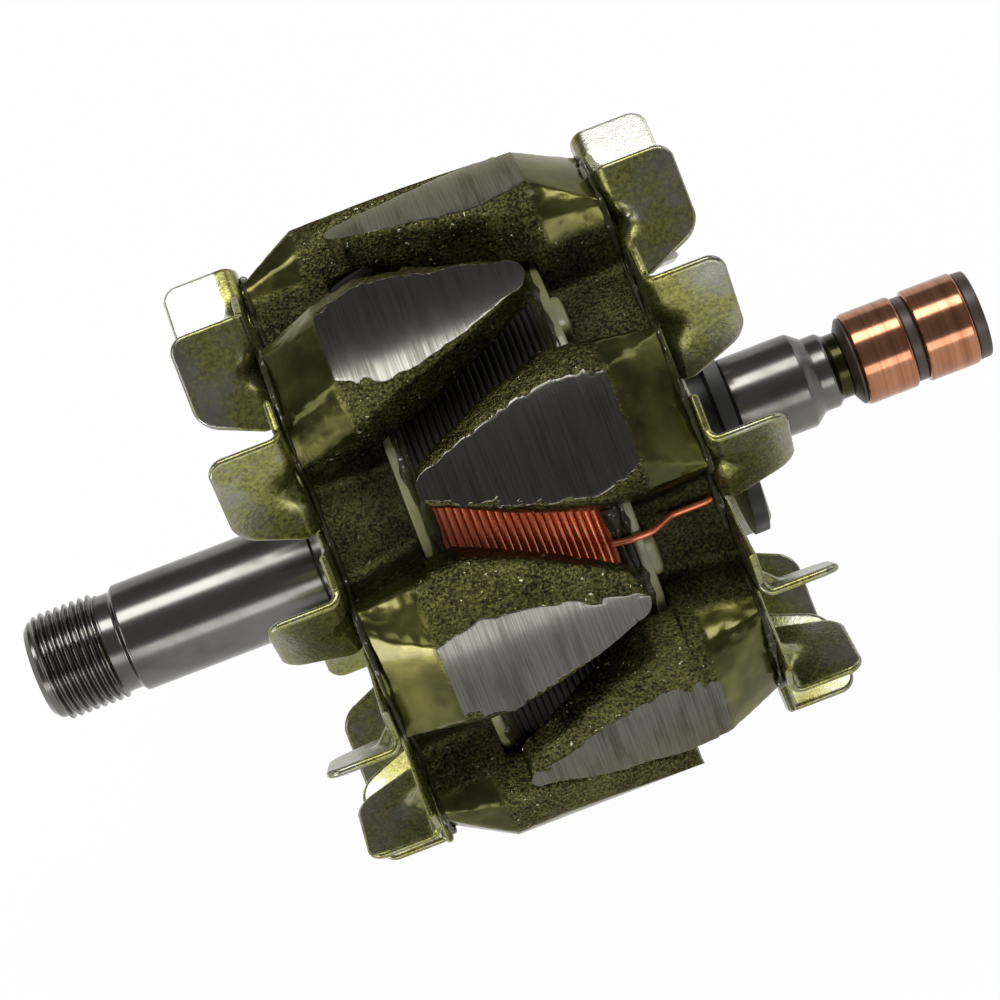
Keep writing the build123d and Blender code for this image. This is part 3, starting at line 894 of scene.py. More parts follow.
def hub_piece(sizes):
    """The moulded hub: its stem, a flare in front of the rings, a groove between them and an end cap."""
    low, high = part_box("slip_ring_insulator")
    first_low, first_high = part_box("slip_ring_inboard")
    second_low, second_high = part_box("slip_ring_outboard")
    outer = first_high.y
    core = outer - sizes.ring_thickness
    groove = outer - 0.6 * MM
    stem = 3.0 * MM
    flare = 6.9 * MM
    neck_end = first_low.x - 1.5 * MM
    corners = [
        (low.x, 0),
        (low.x, stem),
        (neck_end, stem),
        (neck_end, sizes.neck_radius),
        (first_low.x - 0.5 * MM, flare),
        (first_low.x, flare),
        (first_low.x, core),
        (first_high.x, core),
        (first_high.x, groove),
        (second_low.x, groove),
        (second_low.x, core),
        (second_high.x, core),
        (second_high.x, outer - 0.35 * MM),
        (high.x, outer - 0.45 * MM),
        (high.x, 0),
    ]
    return turned_piece("slip_ring_hub", rounded(corners, 0.35 * MM), "slip_ring_insulator", "hub_moulding")


# Winding and leads


def coil_piece(sizes):
    """The outer layer's turns: round wires side by side, each wandering a little from its place.

    The outline over one turn is half a circle of the wire's radius, and each turn's radius and place
    are moved by smooth noise round the coil.
    """
    low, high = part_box("field_coil")
    outer = high.y
    inner = outer - sizes.depth
    count = int((high.x - low.x) / sizes.pitch)
    start = (low.x + high.x - count * sizes.pitch) / 2
    bend = np.linspace(0, math.pi, 9)[None, :-1]
    turn = np.arange(count)[:, None]
    wire = sizes.pitch / 2
    along = (start + wire * (1 - np.cos(bend)) + sizes.pitch * turn).ravel()
    radius = (outer - wire + wire * np.sin(bend) + 0 * turn).ravel()
    number = (turn + 0 * bend).ravel()
    angles = np.linspace(0, TURN, COIL_SEGMENTS, endpoint=False)
    points = round_axis(along[:, None], radius[:, None], angles[None, :])
    place = round_axis(3.7 * number[:, None], 6.0, angles)
    sink = sizes.wander / outer * (0.5 + 0.5 * lumps(place, 1.0, 5))
    points[..., 1:] *= (1 - sink)[..., None]
    points[..., 0] += 0.4 * sizes.wander * lumps(place, 1.0, 6)
    left, right = (round_axis(end, inner, angles)[None] for end in (low.x, high.x))
    points = np.concatenate([left, points, right])
    faces = grid_faces(len(points), len(angles), close_rows=True, close_columns=True)
    return make_piece("winding", [(points, faces)], "field_coil", "coil_copper", crease=50)


def lead_piece(name, node, angle, sizes):
    """A wire off the coil, over the flange, along the valley, in under the fan and across to the shaft.

    Its route's corners are (place from the middle, distance from the axis) in the plane at its angle,
    and are softened by averaging.
    """
    route = np.array([(along + POLE_CENTRE, out) for along, out in LEAD_ROUTE])
    flat = softened(spaced(route, 0.35 * MM), 6)
    path = round_axis(flat[:, 0], flat[:, 1], angle)
    return make_piece(name, [tube(path, sizes.lead_radius)], node, "lead_copper")


# Fans

# The most between two points of a sheet's rim, from which the round edge is measured
RIM_STEP = 0.15 * MM

# Rows of a petal within the notches' innermost radius, and its columns
INNER_ROWS = 22
PETAL_COLUMNS = 26

# Rows of a blade round its bend and up from it, and its columns
BEND_ROWS = 10
RISE_ROWS = 24
BLADE_COLUMNS = 44


def sheet(points, thickness, rim):
    """The closed skin of a sheet of metal, from a grid of points on its middle surface and its rim.

    The points are moved both ways along the grid's normals by half the thickness. Nearer to the rim
    than that, they are moved by a quarter circle of the distance, so that the rim is round.
    """
    half = thickness / 2
    distance = np.linalg.norm(points[:, :, None] - rim, axis=-1).min(axis=-1)
    lift = half * np.sqrt(1 - (1 - np.minimum(distance / half, 1)) ** 2)
    normal = grid_normals(points)
    faces = grid_faces(*points.shape[:2])
    return [(points + normal * (lift * side)[..., None], faces) for side in (-1, 1)]


def fold_place(sizes, across, aside):
    """The (x, y) of places given along a blade's fold and square to it, for the blade at angle zero."""
    cos, sin = math.cos(sizes.lean), math.sin(sizes.lean)
    outwards = across - sizes.chord
    return sizes.radius + outwards * cos + aside * sin, aside * cos - outwards * sin


def eased(count):
    """Shares from zero to one, closer together towards both ends, as half a cosine wave gives them."""
    return (1 - np.cos(np.linspace(0, math.pi, count))) / 2


def blade(sizes):
    """One blade: up from the flat sheet through a bend, with a round dimple pressed into the bend.

    Rows follow the fold's section and columns run along the fold. The dimple moves the sheet into the
    inner corner by a bell curve of the distance from the middle of the bend.
    """
    half = sizes.thickness / 2
    bend = sizes.bend_radius + half
    outside = sizes.bend_radius + sizes.thickness
    turn = np.linspace(0, math.pi / 2, BEND_ROWS)
    leg = np.linspace(-outside - 2.2 * MM, -outside, 5)[:-1]
    climb = np.sin(np.linspace(0, math.pi / 2, RISE_ROWS))[1:]
    rise = outside + (sizes.height - outside) * climb
    aside = np.concatenate([leg, -outside + bend * np.sin(turn), np.full(len(rise), -half)])
    up = np.concatenate([np.full(len(leg), half), outside - bend * np.cos(turn), rise])
    into_corner = np.maximum(up - (sizes.height - sizes.corner), 0)
    cut = sizes.corner - np.sqrt(np.maximum(sizes.corner**2 - into_corner**2, 0))
    slope = np.clip((up - sizes.inner_height) / (sizes.height - sizes.inner_height), 0, 1)
    low = slope * sizes.chord * (1 - sizes.full_share) + cut
    high = sizes.chord - cut
    across = low[:, None] + (high - low)[:, None] * eased(BLADE_COLUMNS)
    aside = aside[:, None]
    up = up[:, None]
    reach = bend * math.sqrt(0.5)
    away = (across - sizes.chord / 2) ** 2 + (aside + outside - reach) ** 2 + (up - outside + reach) ** 2
    dimple = sizes.dimple_depth * np.exp(-away / sizes.dimple_size**2) / math.sqrt(2)
    points = np.stack([up + dimple, *fold_place(sizes, across, aside - dimple)], axis=-1)
    rim = np.concatenate([points[0], points[1:, -1], points[-1, -2::-1], points[-2::-1, 0]])
    return sheet(points, 0.995 * sizes.thickness, spaced(rim, RIM_STEP))


def petal(sizes, bore):
    """A share of the flat sheet, from one blade's notch to the next blade's fold.

    Rows run from the bore to the rim and columns across. Within the notches' innermost radius the
    sides are one radial line, so that the shares join there.
    """
    outside = sizes.bend_radius + sizes.thickness
    end = 1.2 * MM
    full_from = sizes.chord * (1 - sizes.full_share)
    far = sizes.height + end
    past = 1.3 * sizes.chord
    middle = sizes.chord / 2
    bite = 1.1 * MM
    corners = [
        (past, -outside),
        (middle + 2.6 * MM, -outside),
        (middle + 1.0 * MM, -outside - bite),
        (middle - 1.0 * MM, -outside - bite),
        (middle - 2.6 * MM, -outside),
        (-end, -outside),
        (-end, 2.2 * MM),
        (full_from + end, far),
        (past, far),
    ]
    route = spaced(rounded(corners, end, 6), 0.2 * MM)
    x, y = fold_place(sizes, route[:, 0], route[:, 1])
    radius = np.hypot(x, y)
    angle = np.arctan2(y, x)
    start = np.argmin(radius)
    inner = radius[start]
    share = eased(INNER_ROWS)
    inner_rows = bore + (inner - bore) * share
    outer_rows = inner + (sizes.disc_radius - inner) * share[1:]
    rows = np.concatenate([inner_rows, outer_rows])
    near = np.interp(rows, radius[start::-1], angle[start::-1])
    after = np.interp(rows, radius[start:], angle[start:])
    angles = after[:, None] + (near + TURN / sizes.count - after)[:, None] * eased(PETAL_COLUMNS)
    flat = round_axis(sizes.thickness / 2, rows[:, None], angles)
    outer = flat[INNER_ROWS - 1 :]
    rim = [spaced(line, RIM_STEP) for line in (flat[0], outer[:, 0], outer[:, -1], flat[-1])]
    return sheet(flat, sizes.thickness, np.concatenate(rim))


def fan_piece(name, node, side, first, bore, sizes):
    """A stamped fan: petals of flat sheet against the pole, each with a blade folded up at its edge."""
    points, faces = joined(petal(sizes, bore) + blade(sizes))
    along = POLE_CENTRE + side * (POLE_HALF_LENGTH + points[:, 0])
    angles = first + TURN * np.arange(sizes.count) / sizes.count
    parts = [(swung(along, points[:, 2], points[:, 1], angle), faces) for angle in angles]
    return make_piece(name, parts, node, "fan_sheet", crease=60)


# Bobbin and resin

# From the poles' middle to the resin round each flange
FLANGE_PLACE = 13.3 * MM

# The drop where the first lead starts: its place from the middle, and its ends round the shaft in degrees
DROP_PLACE = 11.6 * MM
DROP_ENDS = (136, 153)

# A lug's half sizes along the shaft, round it and out from it
LUG_HALF_SIZES = (1.45 * MM, 3.4 * MM, 1.75 * MM)


def pebble(centre, angle, half_sizes):
    """A rounded block: an ellipsoid whose sines and cosines are raised to 0.55, at an angle round the shaft.

    The centre is (place along the shaft, distance from it), and the half sizes go along, round and out.
    """
    turn = np.linspace(0, TURN, 29)[None, :-1]
    rise = np.linspace(-math.pi / 2, math.pi / 2, 15)[:, None]
    waves = np.broadcast_arrays(np.cos(turn), np.sin(turn), np.cos(rise), np.sin(rise))
    cos, sin, level, high = (np.sign(wave) * np.abs(wave) ** 0.55 for wave in waves)
    along = centre[0] + half_sizes[0] * cos * level
    across = half_sizes[1] * sin * level
    out = centre[1] + half_sizes[2] * high
    points = swung(along, across, out, angle)
    return points, grid_faces(*points.shape[:2], close_columns=True)


def bobbin_piece(sizes):
    """The spool with its two flanges, and the rear flange's rounded lugs."""
    end = bobbin_high.x - POLE_CENTRE - sizes.lug_height
    within = sizes.flange_share
    corners = [
        (-1, sizes.bore_radius),
        (-1, FLANGE_RADIUS),
        (-within, FLANGE_RADIUS),
        (-within, sizes.spool_radius),
        (within, sizes.spool_radius),
        (within, FLANGE_RADIUS),
        (1, FLANGE_RADIUS),
        (1, sizes.bore_radius),
        (-1, sizes.bore_radius),
    ]
    outline = [(POLE_CENTRE + along * end, radius) for along, radius in corners]
    parts = [turned(spaced(rounded(outline, 0.5 * MM, 5), 3 * MM), SEGMENTS)]
    for number in range(sizes.lug_count):
        angle = TURN * (number + 0.5) / sizes.lug_count
        parts.append(pebble((POLE_CENTRE + end, sizes.lug_radius), angle, LUG_HALF_SIZES))
    return make_piece("bobbin", parts, "coil_bobbin", "bobbin_nylon", crease=50)


def resin_bead(path, thickness, size, seed, least=0.04):
    """A bead of resin along a path, which swells and dies away: its radius follows smooth noise."""
    swell = 0.5 + 0.5 * lumps(path, size, seed) + 0.35 * lumps(path, size / 3, seed + 1)
    return tube(path, thickness * np.clip(swell, least, 1.1), sides=10)


def resin_piece(sizes, poles):
    """Beads where resin ran along the fans' seams and round the bobbin's flanges, and a drop on the lead."""
    parts = []
    edge = np.array([poles.half_length - 0.3 * MM])
    for side, shape, angle in claw_shapes(poles):
        across, out = claw_rows(shape, edge, True)[0].T
        along = POLE_CENTRE + side * (poles.half_length - 0.5 * MM)
        path = swung(along, across, out, angle)
        parts.append(resin_bead(spaced(path, 0.5 * MM), sizes.seam_bead, 4 * MM, 3 + side))
    angles = np.linspace(0, TURN, 400)
    for side in (-1, 1):
        along = POLE_CENTRE + side * FLANGE_PLACE
        path = round_axis(along, FLANGE_RADIUS - 0.5 * MM, angles)
        parts.append(resin_bead(path, sizes.flange_bead, 5 * MM, 8 + side))
        path = round_axis(along - side * 0.6 * MM, FLANGE_RADIUS - 1.4 * MM, angles)
        parts.append(resin_bead(path, 1.2 * MM, 7 * MM, 12 + side, 0.8))
    angles = np.radians(np.linspace(*DROP_ENDS, 30))
    path = round_axis(POLE_CENTRE + DROP_PLACE, FLANGE_RADIUS - 0.7 * MM, angles)
    parts.append(resin_bead(path, sizes.lead_drop, 9 * MM, 3))
    return make_piece("resin", parts, None, "varnished_iron", crease=60, finish="resin_varnish")


# Stage


def camera_turn(elevation, roll):
    """The camera's axes: it looks towards +Y and down, and leans until the shaft rises to the right."""
    back = Vector((0, -math.cos(elevation), math.sin(elevation)))
    level = Vector((1, 0, 0))
    upright = back.cross(level)
    right = math.cos(roll) * level - math.sin(roll) * upright
    up = math.sin(roll) * level + math.cos(roll) * upright
    return Matrix((right, up, back)).transposed().to_4x4()


def add_camera(sizes):
    """The photograph's view: the poles' centre lies a little off the middle of the frame."""
    data = bpy.data.cameras.new("camera")
    data.lens = sizes.lens
    data.sensor_width = sizes.sensor_width
    data.clip_start = 0.01
    camera = bpy.data.objects.new("camera", data)
    away = Matrix.Translation((-sizes.centre_right, -sizes.centre_up, sizes.distance))
    aim = Matrix.Translation(sizes.pole_centre)
    camera.matrix_world = aim @ (camera_turn(sizes.elevation, sizes.roll) @ away)
    bpy.context.scene.collection.objects.link(camera)
    bpy.context.scene.camera = camera


def add_lamp(name, place, sides, brightness):
    """A soft rectangular lamp that faces the origin, with its first side along the shaft.

    Its power follows from how bright its face looks: brightness times the area times pi.
    """
    data = bpy.data.lights.new(name, "AREA")
    data.shape = "RECTANGLE"
    data.size, data.size_y = sides
    data.energy = brightness * sides[0] * sides[1] * math.pi
    lamp = bpy.data.objects.new(name, data)
    back = Vector(place).normalized()
    first = (Vector((1, 0, 0)) - back * back.x).normalized()
    axes = Matrix((first, back.cross(first), back)).transposed().to_4x4()
    lamp.matrix_world = Matrix.Translation(place) @ axes
    bpy.context.scene.collection.objects.link(lamp)


def add_floor(height):
    """A pale floor that is white to the camera and in reflections, with a trace of the rotor's shadow."""
    half = 3.0
    shadow = 0.03
    mesh = bpy.data.meshes.new("floor")
    corners = [(-half, -half, height), (half, -half, height), (half, half, height), (-half, half, height)]
    mesh.from_pydata(corners, [], [(0, 1, 2, 3)])
    floor = bpy.data.objects.new("floor", mesh)
    bpy.context.scene.collection.objects.link(floor)
    material = bpy.data.materials.new("floor")
    material.use_nodes = True
    tree = material.node_tree
    shader = next(node for node in tree.nodes if node.type == "BSDF_PRINCIPLED")
    shader.inputs["Base Color"].default_value = colour(0.8, 0.8, 0.8)
    shader.inputs["Roughness"].default_value = 0.9
    paths = tree.nodes.new("ShaderNodeLightPath")
    kinds = ("Is Camera Ray", "Is Glossy Ray", "Is Transmission Ray")
    seen, mirrored, through = (Value(tree, paths.outputs[kind]) for kind in kinds)
    white = seen.node("ShaderNodeEmission", None, {"Color": colour(1, 1, 1), "Strength": 1.0})
    plain = Value(tree, shader.outputs[0])
    shown = (seen + mirrored + through).math("MINIMUM", 1.0)
    mixed = shown.node("ShaderNodeMixShader", None, {0: (1 - shadow) * shown, 1: plain, 2: white})
    output = next(node for node in tree.nodes if node.type == "OUTPUT_MATERIAL")
    tree.links.new(mixed.socket, output.inputs["Surface"])
    mesh.materials.append(material)


def add_surroundings(ceiling, walls):
    """A room with pale low walls, which darkens towards its ceiling."""
    world = bpy.data.worlds.new("room")
    bpy.context.scene.world = world
    world.use_nodes = True
    tree = world.node_tree
    background = next(node for node in tree.nodes if node.type == "BACKGROUND")
    background.inputs["Color"].default_value = colour(1, 1, 1)
    direction = Value(tree, tree.nodes.new("ShaderNodeTexCoord").outputs["Generated"])
    height = direction.node("ShaderNodeSeparateXYZ", None, {"Vector": direction}, output=2)
    level = height.ramp(0.12, 0.3).between(walls, ceiling)
    tree.links.new(level.socket, background.inputs["Strength"])
    bpy.context.scene.view_settings.view_transform = "Standard"


# Sizes and colours that a user would change, in the sidebar


def length(name, description, default):
    """A length in metres."""
    return bpy.props.FloatProperty(name=name, description=description, default=default, unit="LENGTH")


def degrees(name, description, turn):
    """An angle, which is given in degrees and held in radians."""
    default = math.radians(turn)
    return bpy.props.FloatProperty(name=name, description=description, default=default, subtype="ANGLE")


def share(name, description, default):
    """A part of the whole, from 0 to 1."""
    return bpy.props.FloatProperty(
        name=name, description=description, default=default, subtype="FACTOR", min=0, max=1
    )


def brightness(name, description, default):
    """How bright a part of the room is."""
    return bpy.props.FloatProperty(name=name, description=description, default=default, min=0)


def whole(name, description, default):
    """A count of like parts."""
    return bpy.props.IntProperty(name=name, description=description, default=default, min=1)


def lens_size(name, description, default):
    """A camera's length in millimetres."""
    return bpy.props.FloatProperty(name=name, description=description, default=default, unit="CAMERA")


def tint(name, description, *parts):
    """A colour from its red, green and blue."""
    return bpy.props.FloatVectorProperty(
        name=name, description=description, default=colour(*parts), size=4, subtype="COLOR", min=0, max=1
    )


class PoleSizes(bpy.types.PropertyGroup):
    """The forged pole halves and their claws."""

    radius: length("Radius", "Radius to which the claws are turned", ROTOR_RADIUS)
    half_length: length("Half length", "From the middle to a pole's outer face", POLE_HALF_LENGTH)
    bore_radius: length("Bore", "Radius of the seat on the shaft", 9.6 * MM)
    count: whole("Claws", "Number of claws on each half", 6)
    plate_thickness: length("Plate", "Thickness of the plate", 12.2 * MM)
    valley_radius: length("Valley", "Radius of the valleys' floor", 34.0 * MM)
    reach: length("Reach", "How far a claw passes the middle", 12.5 * MM)
    tip_half_width: length("Tip", "Half the width of a claw at its tip", 2.9 * MM)
    tip_depth: length("Tip depth", "Thickness of a claw at its tip", 4.5 * MM)
    under_root: length("Underside", "Radius of the underside at its root", 38.4 * MM)
    face_half_width: length("Face", "Half the turned face's greatest width", 9.3 * MM)
    widest_from_face: length("Widest", "From the outer face to the widest place", 16.5 * MM)
    shoulder_length: length("Shoulder", "Length of the shoulder's cone", 9.6 * MM)
    shoulder_drop: length("Shoulder drop", "How far the cone falls", 5.3 * MM)
    shoulder_half_width: length("Shoulder width", "Half the turned face's width there", 7.4 * MM)
    root_half_width: length("Root", "Half the width of a claw at the outer face", 10.6 * MM)
    side_bulge: length("Bulge", "How far a claw's sides bow outwards", 0.7 * MM)
    broad_bevel: length("Broad bevel", "Width of the bevel on one side", 4.0 * MM)
    narrow_bevel: length("Narrow bevel", "Width of the bevel on the other side", 1.3 * MM)
    broad_slope: degrees("Broad slope", "How steeply the broad bevel falls", 36.0)
    narrow_slope: degrees("Narrow slope", "How steeply the narrow bevel falls", 50.0)
    roughness: length("Lumps", "Greatest height of the forging's lumps", 1.0 * MM)


class ShaftSizes(bpy.types.PropertyGroup):
    """The turned bar and the slip rings."""

    start: length("Start", "Place of the threaded end", shaft_low.x)
    thread_radius: length("Thread", "Radius over the thread", 8.45 * MM)
    thread_depth: length("Thread depth", "Height of a thread", 0.72 * MM)
    thread_length: length("Thread length", "Length of the threaded end", 12.2 * MM)
    pitch: length("Pitch", "From one thread to the next", 1.28 * MM)
    relief_radius: length("Relief", "Radius of the groove behind the thread", 7.7 * MM)
    relief_length: length("Relief length", "Length of the groove behind the thread", 1.8 * MM)
    drive_radius: length("Drive end", "Radius of the journal at the drive end", 8.5 * MM)
    seat_radius: length("Seat", "Radius of the seat within the poles", 9.6 * MM)
    rear_radius: length("Rear end", "Radius of the journal at the slip ring end", 7.5 * MM)
    rear_collar_length: length("Collar", "From the rear pole to its journal", 8.7 * MM)
    rear_journal_length: length("Rear journal", "Length of the rear journal", 11.2 * MM)
    land_radius: length("Land", "Radius of the step after the rear journal", 5.9 * MM)
    neck_radius: length("Neck", "Radius beside the slip rings' hub", 5.1 * MM)
    centre_radius: length("Centre hole", "Radius of the centre hole", 2.6 * MM)
    centre_depth: length("Centre depth", "Depth of the centre hole", 4.2 * MM)
    ring_thickness: length("Slip ring", "Thickness of a slip ring", 1.7 * MM)


class CoilSizes(bpy.types.PropertyGroup):
    """The winding and its leads."""

    pitch: length("Pitch", "From one turn to the next", 1.05 * MM)
    depth: length("Depth", "Depth of the winding", 9 * MM)
    wander: length("Wander", "How far a turn strays from its place", 0.16 * MM)
    lead_radius: length("Lead", "Radius of a lead", 0.5 * MM)
    lead_angle: degrees("Lead angle", "Angle of the first lead round the shaft", 144.0)


class BobbinSizes(bpy.types.PropertyGroup):
    """The bobbin and the resin that binds it."""

    bore_radius: length("Bore", "Radius of the spool's bore", 26 * MM)
    spool_radius: length("Spool", "Radius of the spool between its flanges", 27.2 * MM)
    flange_share: share("Flange", "Share of the half length that lies between the flanges", 0.892)
    lug_count: whole("Lugs", "Number of lugs on the rear flange", 6)
    lug_radius: length("Lug radius", "Radius on which the lugs stand", 35.8 * MM)
    lug_height: length("Lug height", "From the rear flange to the bobbin's end", 1.5 * MM)
    seam_bead: length("Seam resin", "Radius of the resin along a fan's seam", 0.75 * MM)
    flange_bead: length("Flange resin", "Radius of the resin round a flange", 1.1 * MM)
    lead_drop: length("Lead resin", "Radius of the drop where the first lead starts", 1.9 * MM)


class FanSizes(bpy.types.PropertyGroup):
    """Both fans."""

    count: whole("Blades", "Number of blades", 12)
    thickness: length("Sheet", "Thickness of the sheet", 1.2 * MM)
    radius: length("Radius", "Radius to the blades' outer ends", ROTOR_RADIUS - 1.5 * MM)
    disc_radius: length("Disc", "Radius of the flat sheet", ROTOR_RADIUS - 2.4 * MM)
    rear_bore: length("Rear bore", "Radius of the rear fan's bore", 20.2 * MM)
    drive_bore: length("Drive bore", "Radius of the drive fan's bore", 16.0 * MM)
    rear_turn: degrees("Rear turn", "Angle of the rear fan's first blade", 9.5)
    drive_turn: degrees("Drive turn", "Angle of the drive fan's first blade", 12.5)
    chord: length("Chord", "Length of a blade's fold", 17.2 * MM)
    lean: degrees("Lean", "Between a fold and the radius at its outer end", 34.0)
    height: length("Height", "Height of a blade", 11.7 * MM)
    inner_height: length("Inner height", "Height of a blade at its inner end", 2.8 * MM)
    full_share: share("Full share", "Share of the fold over which a blade has its full height", 0.78)
    corner: length("Corner", "Radius of a blade's corners", 2.6 * MM)
    bend_radius: length("Bend", "Inside radius of the fold", 1.0 * MM)
    dimple_depth: length("Dimple depth", "How far the dimple is pressed in", 1.7 * MM)
    dimple_size: length("Dimple size", "Radius at which the dimple has faded", 2.1 * MM)


class StageSizes(bpy.types.PropertyGroup):
    """The photograph's camera, the floor and the room."""

    lens: lens_size("Lens", "Focal length", 111.6)
    sensor_width: lens_size("Sensor", "Width of the sensor", 36.0)
    distance: length("Distance", "From the camera to the poles' centre", 472.6 * MM)
    elevation: degrees("Elevation", "How far the camera looks down", 55.0)
    roll: degrees("Roll", "How far the shaft rises", 21.0)
    pole_centre: bpy.props.FloatVectorProperty(
        name="Poles' centre",
        description="Where the camera's aim is measured from",
        default=(0.6 * MM, 0, 0),
        subtype="XYZ",
        unit="LENGTH",
    )
    centre_right: length("Right", "How far right of the frame's middle the poles' centre is", 1.83 * MM)
    centre_up: length("Up", "How far above the frame's middle the poles' centre is", 1.37 * MM)
    floor_height: length("Floor", "Height of the floor", -60 * MM)
    ceiling: brightness("Ceiling", "Brightness overhead", 0.22)
    walls: brightness("Walls", "Brightness near the horizon", 1.0)


class Tints(bpy.types.PropertyGroup):
    """The colours between which the finishes vary."""

    steel: tint("Steel", "The shaft's ground steel", 0.155, 0.15, 0.138)
    steel_stain: tint("Steel stain", "Stains on the steel", 0.09, 0.085, 0.074)
    neck: tint("Neck", "Varnish on the neck beside the slip rings", 0.035, 0.031, 0.012)
    face: tint("Turned face", "Bare iron of the claws' turned faces", 0.145, 0.137, 0.122)
    face_dark: tint("Turned face, dark", "The turned faces' dark lines", 0.062, 0.056, 0.046)
    forging: tint("Forging", "Crests of the forged skin", 0.108, 0.098, 0.033)
    forging_dark: tint("Forging, dark", "Pits of the forged skin", 0.010, 0.008, 0.003)
    # Painted shade: the forging's colours down between the claws, towards the shaft
    valley: tint("Valley", "Crests of the forged skin near the shaft", 0.045, 0.039, 0.015)
    valley_dark: tint("Valley, dark", "Pits of the forged skin near the shaft", 0.005, 0.004, 0.002)
    # Painted glints: the colour of bright dried specks in the forging
    drops_and_glints: tint("Drops", "Bright grains in the forged skin", 0.45, 0.43, 0.3)
    varnish: tint("Varnish", "Thick varnish on the shoulders", 0.145, 0.134, 0.036)
    varnish_dark: tint("Varnish, dark", "Pools in the thick varnish", 0.045, 0.041, 0.010)
    resin: tint("Resin", "The resin's light parts", 0.035, 0.029, 0.008)
    resin_dark: tint("Resin, dark", "The resin's dark parts", 0.008, 0.006, 0.002)
    core: tint("Core", "The core's bare iron", 0.33, 0.31, 0.28)
    core_dark: tint("Core, dark", "Scale on the core", 0.20, 0.19, 0.17)
    # Reached only where the upper blades carry a painted highlight
    zinc: tint("Zinc", "The fans' clean zinc", 0.66, 0.66, 0.58)
    zinc_dark: tint("Zinc, dark", "The fans' dulled zinc", 0.17, 0.17, 0.14)
    dried: tint("Dried varnish", "Varnish dried on the fans", 0.29, 0.276, 0.085)
    dried_dark: tint("Dried varnish, dark", "Its dark parts on the fans", 0.09, 0.085, 0.02)
    nylon: tint("Nylon", "The bobbin's light parts", 0.225, 0.21, 0.095)
    nylon_dark: tint("Nylon, dark", "The bobbin's dark parts", 0.10, 0.092, 0.032)
    enamel: tint("Enamel", "The winding's light enamel", 0.92, 0.25, 0.10)
    enamel_dark: tint("Enamel, dark", "The winding's dark enamel", 0.70, 0.11, 0.035)
    # Painted shade between the winding's turns
    groove: tint("Groove", "Between the winding's turns", 0.17, 0.018, 0.006)
    # Resin and painted shade, darkening the winding all round but for its lit strip
    shade_darkened: tint("Soaked winding", "Where resin soaked the winding", 0.016, 0.013, 0.007)
    shade_darkened_dark: tint("Soaked winding, dark", "The darkest of the resin", 0.006, 0.005, 0.003)
    lead: tint("Leads", "The leads' light enamel", 0.85, 0.27, 0.11)
    lead_dark: tint("Leads, dark", "The leads' dark enamel", 0.70, 0.14, 0.05)
    ring: tint("Slip rings", "The slip rings' clean copper", 0.43, 0.195, 0.11)
    ring_dark: tint("Slip rings, dark", "Tarnished bands on the copper", 0.27, 0.115, 0.062)
    hub: tint("Hub", "The hub's light parts", 0.055, 0.035, 0.025)
    hub_dark: tint("Hub, dark", "The hub's dark parts", 0.030, 0.018, 0.012)
    cap: tint("Lead cap", "The cap's light parts", 0.025, 0.025, 0.025)
    cap_dark: tint("Lead cap, dark", "The cap's dark parts", 0.012, 0.012, 0.012)
    sleeve: tint("Sleeves", "The sleeves' light parts", 0.16, 0.06, 0.03)
    sleeve_dark: tint("Sleeves, dark", "The sleeves' dark parts", 0.10, 0.035, 0.02)


class ROTOR_OT_finishes(bpy.types.Operator):
    """Makes the finishes, and gives every CAD node the finish of its material slot."""

    bl_idname = "rotor.finishes"
    bl_label = "Finishes"

    def execute(self, context):
        for name, (varying, fixed) in FINISHES.items():
            made_finishes[name] = make_finish(name, varying, fixed)
        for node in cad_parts.values():
            for slot in node.material_slots:
                slot.material = made_finishes[slot.material.name.split(".")[0]]
        return {"FINISHED"}


class ROTOR_OT_poles(bpy.types.Operator):
    """Makes both claw poles."""

    bl_idname = "rotor.poles"
    bl_label = "Claw poles"

    def execute(self, context):
        sizes = context.scene.rotor_poles
        claw_pole("rear_pole", "slip_ring_end_claw_pole", 1, sizes)
        claw_pole("drive_pole", "drive_end_claw_pole", -1, sizes)
        return {"FINISHED"}


class ROTOR_OT_shaft(bpy.types.Operator):
    """Makes the shaft, the slip rings and their hub."""

    bl_idname = "rotor.shaft"
    bl_label = "Shaft and slip rings"

    def execute(self, context):
        sizes = context.scene.rotor_shaft
        shaft_piece(sizes)
        slip_ring_piece("inboard_ring", "slip_ring_inboard", sizes)
        slip_ring_piece("outboard_ring", "slip_ring_outboard", sizes)
        hub_piece(sizes)
        return {"FINISHED"}


class ROTOR_OT_coil(bpy.types.Operator):
    """Makes the winding and its two leads."""

    bl_idname = "rotor.coil"
    bl_label = "Winding"

    def execute(self, context):
        sizes = context.scene.rotor_coil
        coil_piece(sizes)
        lead_piece("start_lead", "field_lead_start", sizes.lead_angle, sizes)
        lead_piece("finish_lead", "field_lead_finish", sizes.lead_angle + math.pi, sizes)
        return {"FINISHED"}


class ROTOR_OT_bobbin(bpy.types.Operator):
    """Makes the bobbin and the resin that binds it."""

    bl_idname = "rotor.bobbin"
    bl_label = "Bobbin and resin"

    def execute(self, context):
        sizes = context.scene.rotor_bobbin
        bobbin_piece(sizes)
        resin_piece(sizes, context.scene.rotor_poles)
        return {"FINISHED"}


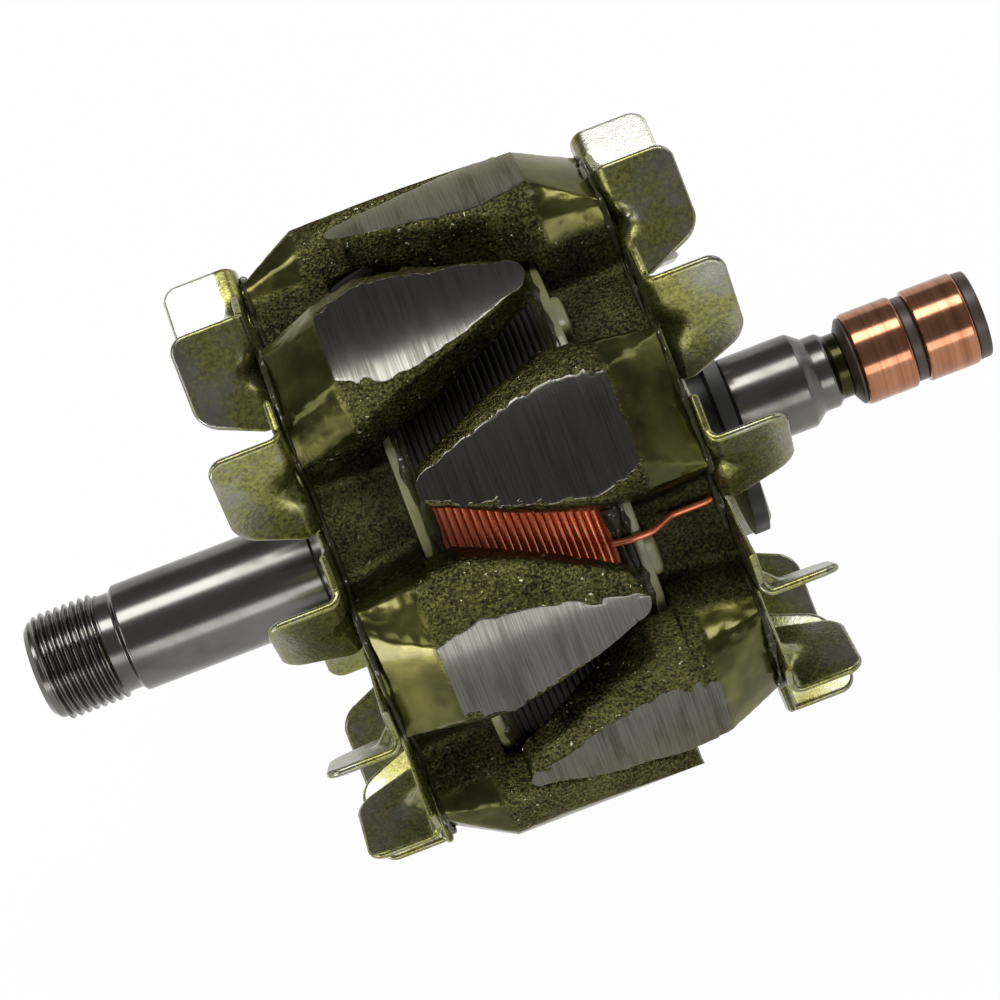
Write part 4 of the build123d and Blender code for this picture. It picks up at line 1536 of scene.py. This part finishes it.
class ROTOR_OT_fans(bpy.types.Operator):
    """Makes both fans."""

    bl_idname = "rotor.fans"
    bl_label = "Fans"

    def execute(self, context):
        sizes = context.scene.rotor_fans
        fan_piece("rear_fan", "slip_ring_end_fan", 1, sizes.rear_turn, sizes.rear_bore, sizes)
        fan_piece("drive_fan", "drive_end_fan", -1, sizes.drive_turn, sizes.drive_bore, sizes)
        return {"FINISHED"}


class ROTOR_OT_stage(bpy.types.Operator):
    """Makes the camera, the lamps, the floor and the room."""

    bl_idname = "rotor.stage"
    bl_label = "Stage"

    def execute(self, context):
        sizes = context.scene.rotor_stage
        add_camera(sizes)
        for name, (place, sides, brightness) in LAMPS.items():
            add_lamp(name, place, sides, brightness)
        add_floor(sizes.floor_height)
        add_surroundings(sizes.ceiling, sizes.walls)
        return {"FINISHED"}


GROUPS = {
    "rotor_poles": PoleSizes,
    "rotor_shaft": ShaftSizes,
    "rotor_coil": CoilSizes,
    "rotor_bobbin": BobbinSizes,
    "rotor_fans": FanSizes,
    "rotor_stage": StageSizes,
    "rotor_tints": Tints,
}
OPERATORS = [
    ROTOR_OT_finishes,
    ROTOR_OT_poles,
    ROTOR_OT_shaft,
    ROTOR_OT_coil,
    ROTOR_OT_bobbin,
    ROTOR_OT_fans,
    ROTOR_OT_stage,
]


class ROTOR_PT_sizes(bpy.types.Panel):
    """Lists the steps, their sizes and the colours."""

    bl_idname = "ROTOR_PT_sizes"
    bl_label = "Rotor"
    bl_space_type = "VIEW_3D"
    bl_region_type = "UI"
    bl_category = "Rotor"

    def draw(self, context):
        for operator in OPERATORS:
            self.layout.operator(operator.bl_idname)
        for group in GROUPS:
            box = self.layout.box()
            sizes = getattr(context.scene, group)
            for name in sizes.__annotations__:
                box.prop(sizes, name)


def register():
    for part in [*GROUPS.values(), *OPERATORS, ROTOR_PT_sizes]:
        bpy.utils.register_class(part)
    for name, group in GROUPS.items():
        setattr(bpy.types.Scene, name, bpy.props.PointerProperty(type=group))


def unregister():
    for name in GROUPS:
        delattr(bpy.types.Scene, name)
    for part in reversed([*GROUPS.values(), *OPERATORS, ROTOR_PT_sizes]):
        bpy.utils.unregister_class(part)


def main():
    register()
    for operator in OPERATORS:
        group, name = operator.bl_idname.split(".")
        getattr(getattr(bpy.ops, group), name)()


if __name__ == "__main__":
    main()
